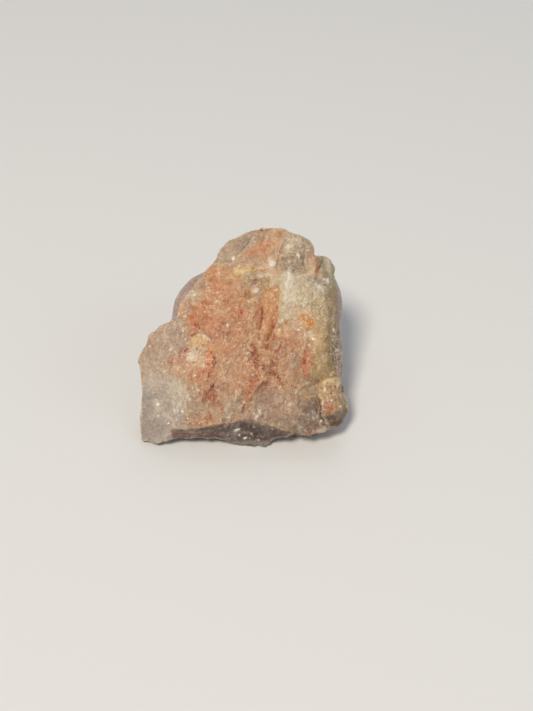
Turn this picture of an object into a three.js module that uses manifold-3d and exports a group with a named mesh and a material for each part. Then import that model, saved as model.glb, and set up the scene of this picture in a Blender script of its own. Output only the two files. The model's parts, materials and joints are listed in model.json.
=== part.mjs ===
// A rough lump of strawberry quartz, lying with its broken face towards the front.
// Millimetres, +Z up, the face turned to -Y and upwards. One solid, one mesh.
//
// Most of the shape is worked out in the face's own axes: u runs to the right, v up
// the face, and w straight out of it. The face is a sheet of relief that cuts off a
// rounded body, whose sides are broken near the face and worn smooth at the back.

import * as THREE from 'three';
import { mergeVertices } from 'three/addons/utils/BufferGeometryUtils.js';
import { ImprovedNoise } from 'three/addons/math/ImprovedNoise.js';
import Module from 'manifold-3d';

const wasm = await Module();
wasm.setup();
const noise = new ImprovedNoise();
const { clamp, smoothstep, lerp, degToRad } = THREE.MathUtils;

// ---- driving dimensions ----------------------------------------------------------

const faceLean = 40;           // degrees that the face's normal rises above level
const faceCentre = [-0.1, -7.35, 22.8]; // the middle of the face, above and before the foot
const faceStep = 1.0;          // side of the squares that the relief is drawn on
const groundStep = 2.0;        // the same for the underside
const bodyDetail = 18;         // subdivision of the ball that the body is pushed out from

const bodyMiddle = [0.5, -1, -9]; // the point that the ball is pushed out from
const girthDepth = 9;          // how far behind the rim the body is widest
const bodyDepth = 27;          // from the rim to the back's furthest point
const backSquareness = 2.2;    // 2 is an ellipse's section, more is boxier
const wallDepth = 3.2;         // breadth of the broken band behind the rim
const wallDraw = 1.1;          // how far that band draws in
const wallRoughness = 0.9;     // height of the lumps on it
const wallLength = 4;          // and their breadth
const backRoughness = 0.15;    // the share of that roughness that wear has left on the back
const backSwell = 0.6;         // height of the low swellings on the worn back
const swellLength = 12;        // and their breadth

const faceFront = 0.9;         // how far the face's middle stands out past the frame's middle
const bendWidth = 1.4;         // how far the face's features wander
const bendLength = 5;          // and over what length

// Shell-like breaks. `slant` says how far they are drawn askew: on the face with v, and
// round the sides with w.
const faceScallop = { size: 4.6, tilt: 0.32, seed: 3, slant: 0.25, stretch: 0.7 };
const wallScallop = { size: 5.5, tilt: 0.32, seed: 9, slant: [0.7, -0.5] };
const backScallop = { size: 11, tilt: 0.12, seed: 5, slant: [-0.6, 0.6] };

const footHollow = 3.2;        // height of the hollows under the stone
const hollowLength = 8;        // and their breadth
const hollowShare = 0.15;      // above 0, more of the underside is hollow than not
const backFoot = 2;            // how far back the stone's underside starts to rise
const backRise = 0.03;         // how fast it rises from there

// Where the stone touches what it lies on, as x and y, and how far each touch spreads.
const feet = [[-21, -20], [0, -21], [-12, 6], [13, 5]];
const footRadius = 3;
const footFade = 2.5;          // the hollows are whole at this many radii

// The rim of the face, clockwise from the top, as u and v.
const rim = [
  [4.7, 26.0], [10.3, 25.9], [13.4, 24.0], [16.4, 22.1], [17.5, 19.2], [19.5, 18.6],
  [20.9, 17.4], [21.5, 14.6], [22.8, 11.4], [22.9, 6.6], [23.3, 0.0], [24.0, -2.8],
  [23.6, -5.2], [24.2, -9.0], [24.9, -14.5], [24.6, -17.8], [23.6, -20.4], [22.4, -21.5],
  [19.6, -21.5], [17.8, -22.8], [14.8, -22.5], [10.6, -22.9], [6.6, -24.3], [1.9, -25.6],
  [-1.7, -25.2], [-4.7, -24.1], [-7.5, -23.4], [-12.2, -23.7], [-16.9, -23.1],
  [-19.8, -24.5], [-24.7, -24.8], [-24.1, -20.6], [-23.6, -14.2], [-24.1, -8.0],
  [-24.8, -4.7], [-23.6, -2.4], [-21.7, 0.5], [-19.2, 2.8], [-16.4, 4.2], [-15.0, 5.9],
  [-13.1, 9.9], [-10.8, 12.9], [-8.0, 15.8], [-6.7, 17.5], [-5.2, 20.0], [-3.8, 22.0],
  [-1.4, 23.9], [1.2, 24.9],
];

// The rounded girth behind it. It shows past the rim only in the notch on the left
// and as a sliver on the right.
const girth = [
  [5.0, 22.2], [11.5, 21.6], [17.5, 18.6], [22.0, 14.6], [24.2, 9.8], [24.5, 4.8],
  [23.4, -2.0], [22.6, -10.0], [21.5, -17.0], [18.0, -24.0], [9.0, -29.0], [-3.0, -31.0],
  [-14.0, -28.5], [-20.0, -22.0], [-21.5, -14.0], [-21.3, -6.5], [-18.9, -0.5],
  [-17.0, 4.8], [-15.9, 9.4], [-12.4, 14.2], [-7.9, 17.0], [-1.5, 20.4],
];

// The ridge along the foot of the face. Below it the stone turns under.
const footRidge = [
  [-30, -27], [-20.5, -24.2], [-17.2, -20.9], [-8.6, -20.9], [-1.6, -19.6],
  [0.2, -19.1], [3.0, -19.5], [6.0, -20.7], [10.9, -23.2], [18, -27], [30, -27],
];
const undercut = 0.86;         // how fast the stone turns under there

// How the face bows. Past `from` in a direction it falls away by `fall` times the
// distance squared.
const bows = [
  { towards: [1, 0], from: 0, fall: 0.0035 },
  { towards: [-1, 0], from: 0, fall: 0.0035 },
  { towards: [0, 1], from: 11, fall: 0.013 },        // the top leans back
  { towards: [0.99, 0.12], from: 19, fall: 0.16 },   // right shoulder
  { towards: [-1, 0], from: 17.5, fall: 0.04 },      // left lobe
  { towards: [-0.6, -0.8], from: 14, fall: 0.0068 }, // lower left corner
];

// Flat-topped lumps on the face, and pits where the height is negative. `soft` is the
// share of a lump's size that its edge takes, and `turn` is in degrees.
const lumps = [
  { at: [20.9, -14.1], size: [2.9, 4.3], height: 1.4, soft: 0.2 },            // lower right block
  { at: [16.2, -15.5], size: [3.6, 5.5], height: -0.8, soft: 0.7 },           // smooth dip beside it
  { at: [-0.6, 20.6], size: [3.6, 3.2], turn: 35, height: -1.0, soft: 0.5 },  // scoop in the top lobe
  { at: [-2.5, 15.2], size: [4.4, 1.9], turn: 12, height: 0.6, soft: 0.4 },   // ledge under the scoop
  { at: [13.2, 20.4], size: [4.2, 3.3], turn: -30, height: 0.9, soft: 0.3 },  // top lobe's right side
  { at: [3.2, 12.1], size: [3.1, 2.3], turn: 10, height: -1.3, soft: 0.5 },   // crystal pit
  { at: [-9.7, -0.9], size: [2.5, 2.1], turn: -25, height: 0.9, soft: 0.4 },  // raised chip
  { at: [-10.6, 9.5], size: [1.9, 1.6], height: 0.7, soft: 0.5 },             // knob by the notch
  { at: [-19.2, -1.2], size: [3.5, 2.8], turn: 35, height: 0.7, soft: 0.6 },  // left lobe
  { at: [-13.8, -9.8], size: [2.6, 4.4], turn: 10, height: 0.7, soft: 0.6 },  // pale swelling
  { at: [16.6, 16.9], size: [1.0, 2.4], height: 0.9, soft: 0.5 },             // ridge before the right lobe
  { at: [20.3, 15.2], size: [1.2, 3.0], turn: 8, height: 0.8, soft: 0.5 },    // right lobe
  { at: [14.5, 7.5], size: [5.6, 6.2], turn: 10, height: 0.6, soft: 0.2 },    // cream swelling
  { at: [-1.5, -14.2], size: [5.8, 3.0], turn: 30, height: 0.5, soft: 0.5 },  // under the slanting step
];

// Open cracks in the face, each a V-shaped groove `reach` wide to either side.
const fissures = [
  { from: [5.1, 8.8], to: [3.6, 0.6], depth: 0.8, reach: 1.2 },
  { from: [8.1, 5.4], to: [6.1, -1.8], depth: 0.8, reach: 1.2 },
  { from: [3.4, -2.6], to: [1.8, -11.2], depth: 0.8, reach: 1.3 },
  { from: [7.9, -8.4], to: [-1.2, -15.0], depth: 0.7, reach: 1.2 },
  { from: [-8.0, -1.4], to: [-6.7, -14.5], depth: 0.8, reach: 1.4 },
  { from: [-12.0, 6.0], to: [-9.6, 2.0], depth: 0.6, reach: 1.2 },
  { from: [18.2, 18.5], to: [18.4, 14.2], depth: 1.0, reach: 1.2 },
  { from: [-16.5, 3.5], to: [-12.6, -3.5], depth: 0.6, reach: 1.6 },
  { from: [15.0, -2.0], to: [13.0, -11.0], depth: 0.4, reach: 1.4 },
];

// ---- the face ----------------------------------------------------------------------

function plateau(u, v, { at, size, turn = 0, height, soft }) {
  const angle = degToRad(turn);
  const x = ((u - at[0]) * Math.cos(angle) + (v - at[1]) * Math.sin(angle)) / size[0];
  const y = ((v - at[1]) * Math.cos(angle) - (u - at[0]) * Math.sin(angle)) / size[1];
  const reach = Math.cbrt(Math.abs(x) ** 3 + Math.abs(y) ** 3);
  return height * (1 - smoothstep(reach, 1 - soft, 1 + soft));
}

function distanceToLine(u, v, [fromU, fromV], [toU, toV]) {
  const du = toU - fromU;
  const dv = toV - fromV;
  const along = clamp(((u - fromU) * du + (v - fromV) * dv) / (du * du + dv * dv), 0, 1);
  return Math.hypot(u - fromU - along * du, v - fromV - along * dv);
}

// A line's height at u, where the line is a list of points in rising u.
function heightOnLine(line, u) {
  const next = clamp(line.findIndex(([at]) => at > u), 1, line.length - 1);
  const [fromU, fromV] = line[next - 1];
  const [toU, toV] = line[next];
  return lerp(fromV, toV, clamp((u - fromU) / (toU - fromU), 0, 1));
}

// Shell-like breaks: hollows that each lean their own way and meet in sharp ridges.
// Every point takes the lowest of the hollows around it.
function scallops(x, y, { size, tilt, seed }) {
  const column = Math.round(x / size);
  const row = Math.round(y / size);
  let lowest = Infinity;
  for (let i = column - 1; i <= column + 1; i += 1) {
    for (let j = row - 1; j <= row + 1; j += 1) {
      const pick = (salt) => noise.noise(i * 0.71 + salt, j * 0.83 + seed, 0.37 + salt * 1.7);
      const dx = x - size * (i + 0.7 * pick(1.3));
      const dy = y - size * (j + 0.7 * pick(2.9));
      const lean = 2 * tilt * (pick(4.1) * dx + pick(5.7) * dy);
      const bowl = (0.55 * tilt / size) * (dx * dx + dy * dy);
      lowest = Math.min(lowest, lean + bowl + 0.7 * tilt * size * pick(7.3));
    }
  }
  return lowest;
}

// How far a place is moved before lumps and fissures are drawn, so that none is straight.
function bent(u, v) {
  return [
    u + bendWidth * noise.noise(u / bendLength, v / bendLength, 7.3),
    v + bendWidth * noise.noise(u / bendLength, v / bendLength, 2.9),
  ];
}

function faceHeight(u, v) {
  const bowed = bows.reduce((sum, { towards, from, fall }) => {
    const past = Math.max(0, towards[0] * u + towards[1] * v - from);
    return sum + fall * past ** 2;
  }, 0);
  const [bentU, bentV] = bent(u, v);
  const turnedUnder = undercut * Math.max(0, heightOnLine(footRidge, bentU) - v);
  const lumpy = lumps.reduce((sum, lump) => sum + plateau(bentU, bentV, lump), 0);
  const cracked = fissures.reduce((sum, { from, to, depth, reach }) => {
    const away = distanceToLine(bentU, bentV, from, to) / reach;
    return sum + depth * Math.max(0, 1 - away);
  }, 0);
  const { slant, stretch } = faceScallop;
  const broken = scallops(u + slant * v, stretch * v, faceScallop);
  return faceFront + lumpy + broken - bowed - turnedUnder - cracked;
}

// ---- the body ----------------------------------------------------------------------

// How far a closed outline lies from the middle, for every direction around it.
function reachAround(points, curved) {
  const bearings = 720;
  const spline = new THREE.CatmullRomCurve3(points.map(([u, v]) => new THREE.Vector3(u, v, 0)), true);
  const line = curved ? spline.getPoints(400).map((p) => [p.x, p.y]) : [...points, points[0]];
  const reach = new Float32Array(bearings + 1);
  for (let i = 0; i <= bearings; i += 1) {
    const angle = (i / bearings) * 2 * Math.PI - Math.PI;
    const [du, dv] = [Math.cos(angle), Math.sin(angle)];
    for (let k = 1; k < line.length; k += 1) {
      const [fromU, fromV] = line[k - 1];
      const [toU, toV] = line[k];
      const across = (toU - fromU) * dv - (toV - fromV) * du;
      const share = (fromV * du - fromU * dv) / across;
      const out = (fromV * (toU - fromU) - fromU * (toV - fromV)) / across;
      if (share >= 0 && share <= 1 && out > reach[i]) reach[i] = out;
    }
  }
  return (angle) => {
    const place = ((angle + Math.PI) / (2 * Math.PI)) * bearings;
    const before = Math.min(Math.floor(place), bearings - 1);
    return lerp(reach[before], reach[before + 1], place - before);
  };
}

const rimReach = reachAround(rim, false);
const girthReach = reachAround(girth, true);

function slanted(u, v, w, scallop) {
  const [acrossU, acrossV] = scallop.slant;
  return scallops(u + acrossU * w, v + acrossV * w, scallop);
}

function isInBody(u, v, w) {
  const out = Math.hypot(u, v);
  const angle = Math.atan2(v, u);
  const atRim = rimReach(angle);
  const behind = faceHeight(atRim * Math.cos(angle), atRim * Math.sin(angle)) - w;
  const wornOff = smoothstep(behind, wallDepth, girthDepth);
  const drawnIn = wallDraw * smoothstep(behind, 0, wallDepth);
  const lump = noise.noise(u / wallLength, v / wallLength, w / wallLength) + slanted(u, v, w, wallScallop);
  const rough = wallRoughness * lump * smoothstep(behind, 0, 2) * lerp(1, backRoughness, wornOff);
  const low = noise.noise(u / swellLength, v / swellLength, w / swellLength) + slanted(u, v, w, backScallop);
  const swell = backSwell * low * wornOff;
  const wall = lerp(atRim - drawnIn, girthReach(angle), wornOff);
  const pastGirth = clamp((behind - girthDepth) / (bodyDepth - girthDepth), 0, 1);
  const closing = (1 - pastGirth ** backSquareness) ** (1 / backSquareness);
  return out < (wall + rough + swell) * closing;
}

// ---- solids --------------------------------------------------------------------------

const lean = degToRad(faceLean);
const faceToStone = new THREE.Matrix4().makeBasis(
  new THREE.Vector3(1, 0, 0),
  new THREE.Vector3(0, Math.sin(lean), Math.cos(lean)),
  new THREE.Vector3(0, -Math.cos(lean), Math.sin(lean)),
).setPosition(...faceCentre);

// Moves each vertex of a closed geometry and returns it as a solid.
function solidFrom(geometry, placement, move) {
  geometry.deleteAttribute('normal');
  geometry.deleteAttribute('uv');
  const merged = mergeVertices(geometry, 1e-4);
  const position = merged.getAttribute('position');
  const point = new THREE.Vector3();
  for (let i = 0; i < position.count; i += 1) {
    point.fromBufferAttribute(position, i);
    move(point);
    point.applyMatrix4(placement);
    position.setXYZ(i, point.x, point.y, point.z);
  }
  return new wasm.Manifold(new wasm.Mesh({
    numProp: 3,
    vertProperties: new Float32Array(position.array),
    triVerts: new Uint32Array(merged.index.array),
  }));
}

// Everything behind the face's relief.
function reliefSolid() {
  const [breadth, length, depth] = [56, 60, 60];
  const across = Math.round(breadth / faceStep);
  const up = Math.round(length / faceStep);
  const sheet = new THREE.BoxGeometry(breadth, length, depth, across, up, 1);
  return solidFrom(sheet, faceToStone, (point) => {
    if (point.z > 0) point.z = faceHeight(point.x, point.y);
    else point.z = -depth;
  });
}

// The rounded body, pushed out from a middle point until it leaves the shape above.
function bodySolid() {
  const middle = new THREE.Vector3(...bodyMiddle);
  const frontEnd = 7; // past every part of the relief
  const stride = 0.6;
  const halvings = 12;
  const ball = new THREE.IcosahedronGeometry(1, bodyDetail);
  return solidFrom(ball, faceToStone, (point) => {
    const direction = point.clone().normalize();
    const isInside = (r) => {
      const [u, v, w] = point.copy(middle).addScaledVector(direction, r).toArray();
      return w < frontEnd && isInBody(u, v, w);
    };
    let [low, high] = [0, stride];
    while (isInside(high)) [low, high] = [high, high + stride];
    for (let k = 0; k < halvings; k += 1) {
      const half = (low + high) / 2;
      if (isInside(half)) low = half;
      else high = half;
    }
    point.copy(middle).addScaledVector(direction, low);
  });
}

// What the stone lies on, rising into the hollows of its underside but not at its feet.
function groundSolid() {
  const [breadth, thickness] = [90, 40];
  const squares = Math.round(breadth / groundStep);
  const ground = new THREE.BoxGeometry(breadth, breadth, thickness, squares, squares, 1);
  return solidFrom(ground, new THREE.Matrix4(), (point) => {
    if (point.z < 0) return;
    const toFoot = Math.min(...feet.map(([x, y]) => Math.hypot(point.x - x, point.y - y)));
    const offFoot = smoothstep(toFoot, footRadius, footFade * footRadius);
    const lumps = noise.noise(point.x / hollowLength, point.y / hollowLength, 4.7);
    const rise = backRise * Math.max(0, point.y - backFoot) ** 2;
    point.z = Math.max(0, footHollow * (lumps + hollowShare) + rise) * offFoot;
  });
}

// ---- the stone --------------------------------------------------------------------------

function stoneGeometry() {
  const stone = reliefSolid().intersect(bodySolid()).subtract(groundSolid());
  const { vertProperties, triVerts } = stone.getMesh();
  const geometry = new THREE.BufferGeometry();
  geometry.setAttribute('position', new THREE.BufferAttribute(vertProperties, 3));
  geometry.setIndex(new THREE.BufferAttribute(triVerts, 1));
  geometry.computeVertexNormals();
  return geometry;
}

const stoneMaterial = new THREE.MeshStandardMaterial({ color: 0xbd9070, roughness: 0.55, metalness: 0 });
const stone = new THREE.Mesh(stoneGeometry(), stoneMaterial);
stone.name = 'strawberry_quartz';

const part = new THREE.Group();
part.add(stone);

export default part;
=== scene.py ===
import json
import math

import bpy
import numpy as np
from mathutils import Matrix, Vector

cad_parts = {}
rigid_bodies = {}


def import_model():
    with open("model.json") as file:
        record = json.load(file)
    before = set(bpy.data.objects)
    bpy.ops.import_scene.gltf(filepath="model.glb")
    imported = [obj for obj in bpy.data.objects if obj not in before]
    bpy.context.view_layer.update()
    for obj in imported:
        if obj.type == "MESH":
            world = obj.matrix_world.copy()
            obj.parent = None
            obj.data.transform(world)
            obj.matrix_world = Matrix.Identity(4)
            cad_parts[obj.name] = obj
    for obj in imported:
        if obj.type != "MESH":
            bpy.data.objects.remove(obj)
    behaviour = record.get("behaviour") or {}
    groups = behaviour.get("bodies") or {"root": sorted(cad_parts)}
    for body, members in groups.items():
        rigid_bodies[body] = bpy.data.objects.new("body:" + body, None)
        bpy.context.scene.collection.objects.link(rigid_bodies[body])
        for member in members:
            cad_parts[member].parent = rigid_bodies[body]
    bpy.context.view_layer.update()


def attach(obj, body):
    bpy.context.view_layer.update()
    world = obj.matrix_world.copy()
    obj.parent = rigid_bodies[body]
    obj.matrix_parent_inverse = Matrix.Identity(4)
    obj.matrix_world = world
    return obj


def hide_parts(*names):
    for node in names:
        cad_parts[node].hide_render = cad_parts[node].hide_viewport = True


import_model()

# A rough lump of strawberry quartz. Its broken face is worked in axes of its own, in
# millimetres: u to the right, v up the face, w straight out of it.
stone = {
    "node": "strawberry_quartz",
    "faceCentre": (-0.1, -7.35, 22.8),  # the middle of the face, from the foot's middle
    "faceLean": 40.0,                   # degrees that the face's normal rises above level
    "voxel": 0.32,                      # mm, the cells that the mesh is rebuilt on
    "rounding": 6,                      # rounds of smoothing before the relief is cut
    "regain": 0.52,                     # how hard each round pushes back, to keep the size
    "grainLean": 14.0,                  # degrees that the grain leans right of straight up
}

lean = math.radians(stone["faceLean"])
axisU = np.array((1.0, 0.0, 0.0))
axisV = np.array((0.0, math.sin(lean), math.cos(lean)))
axisW = np.array((0.0, -math.cos(lean), math.sin(lean)))
faceCentre = np.array(stone["faceCentre"])


def toFace(points):  # metres in the stone's frame to millimetres in the face's
    away = points * 1000.0 - faceCentre
    return away @ axisU, away @ axisV, away @ axisW


def smooth(value, low, high):
    share = np.clip((value - low) / (high - low), 0.0, 1.0)
    return share * share * (3.0 - 2.0 * share)


def linearColour(hexColour):  # an sRGB hex colour as Blender's linear one
    parts = [int(hexColour[i:i + 2], 16) / 255.0 for i in (1, 3, 5)]
    return [p / 12.92 if p <= 0.04045 else ((p + 0.055) / 1.055) ** 2.4 for p in parts]


# Noise that the relief and the colouring both draw on.
latticeSide = 32
lattice = np.random.default_rng(7).uniform(-1.0, 1.0, (16, latticeSide, latticeSide, latticeSide))
turns = [np.linalg.qr(np.random.default_rng(70 + k).normal(size=(3, 3)))[0] for k in range(16)]


def softNoise(x, y, z, size, seed):  # smooth lumps about `size` mm across, from -1 to 1
    grid = lattice[seed % len(lattice)]
    place = turns[seed % len(turns)] @ np.stack((x, y, z)) / size + seed * 3.37
    cell = np.floor(place).astype(int)
    part = place - cell
    part = part * part * (3.0 - 2.0 * part)
    total = 0.0
    for corner in range(8):
        bits = (corner >> 2 & 1, corner >> 1 & 1, corner & 1)
        weight = 1.0
        for axis in range(3):
            weight = weight * (part[axis] if bits[axis] else 1.0 - part[axis])
        i, j, k = [(cell[axis] + bits[axis]) % latticeSide for axis in range(3)]
        total = total + weight * grid[i, j, k]
    return total


def layeredNoise(x, y, z, size, seed, layers=3):
    total, strength, reach = 0.0, 1.0, 0.0
    for layer in range(layers):
        total = total + strength * softNoise(x, y, z, size / 2 ** layer, seed + layer)
        reach += strength
        strength *= 0.6
    return total / reach * 1.6


def scallops(x, y, size, tilt, seed):  # shell-like hollows that meet in sharp ridges
    side = 64
    picks = np.random.default_rng(seed).uniform(-1.0, 1.0, (5, side, side))
    column, row = np.round(x / size).astype(int), np.round(y / size).astype(int)
    lowest = np.full(x.shape, 1e9)
    for i in (-1, 0, 1):
        for j in (-1, 0, 1):
            a, b = (column + i) % side, (row + j) % side
            dx = x - size * (column + i + 0.45 * picks[0, a, b])
            dy = y - size * (row + j + 0.45 * picks[1, a, b])
            bowl = 0.5 * tilt / size * (dx * dx + dy * dy)
            slope = tilt * (picks[2, a, b] * dx + picks[3, a, b] * dy)
            lowest = np.minimum(lowest, bowl + slope + 0.35 * tilt * size * picks[4, a, b])
    return lowest - lowest.mean()  # so the stone keeps its size


def terraces(field, steps):  # a smooth field broken into flats with steep edges
    level = field * steps
    whole = np.floor(level)
    return (whole + smooth(level - whole, 0.75, 1.0)) / steps


def ovalShare(u, v, at, size, turn=0.0, soft=0.95):  # 1 inside an oval, 0 outside
    angle = math.radians(turn)
    x = ((u - at[0]) * math.cos(angle) + (v - at[1]) * math.sin(angle)) / size[0]
    y = ((v - at[1]) * math.cos(angle) - (u - at[0]) * math.sin(angle)) / size[1]
    return 1.0 - smooth(np.hypot(x, y), 1.0 - soft, 1.0 + soft)


def strongest(u, v, ovals, soft):  # the most that any of a table's ovals asks for
    most = np.zeros(u.shape)
    for strength, *oval in ovals:
        most = np.maximum(most, strength * ovalShare(u, v, *oval, soft=soft))
    return most


def alongLine(u, v, points):  # distance to a line, positive on its left, and how far along
    nearest = np.full(u.shape, 1e9)
    signed, reached, start = np.zeros(u.shape), np.zeros(u.shape), 0.0
    for (fromU, fromV), (toU, toV) in zip(points, points[1:]):
        du, dv = toU - fromU, toV - fromV
        length = math.hypot(du, dv)
        along = np.clip(((u - fromU) * du + (v - fromV) * dv) / length ** 2, 0.0, 1.0)
        away = np.hypot(u - fromU - along * du, v - fromV - along * dv)
        closer = away < nearest
        side = np.where(du * (v - fromV) - dv * (u - fromU) >= 0.0, 1.0, -1.0)
        nearest = np.where(closer, away, nearest)
        signed = np.where(closer, side * away, signed)
        reached = np.where(closer, start + along * length, reached)
        start += length
    return signed, reached, start


def lineShare(u, v, points, width, soft=0.6):  # 1 on a line, 0 off it, thinning to its ends
    signed, reached, length = alongLine(u, v, points)
    taper = np.minimum(1.0, 0.35 + np.minimum(reached, length - reached) / (4.0 * width))
    return 1.0 - smooth(np.abs(signed) / (width * taper), 1.0 - soft, 1.0 + soft)


def insideOf(u, v, corners):  # distance into a closed outline, negative outside it
    closed = list(corners) + [corners[0]]
    nearest = np.full(u.shape, 1e9)
    inside = np.zeros(u.shape, bool)
    for (fromU, fromV), (toU, toV) in zip(closed, closed[1:]):
        du, dv = toU - fromU, toV - fromV
        along = np.clip(((u - fromU) * du + (v - fromV) * dv) / (du * du + dv * dv), 0.0, 1.0)
        nearest = np.minimum(nearest, np.hypot(u - fromU - along * du, v - fromV - along * dv))
        crosses = (fromV > v) != (toV > v)
        crossing = fromU + (v - fromV) / (dv if dv else 1e-9) * du
        inside ^= crosses & (u < crossing)
    return np.where(inside, nearest, -nearest)


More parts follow.
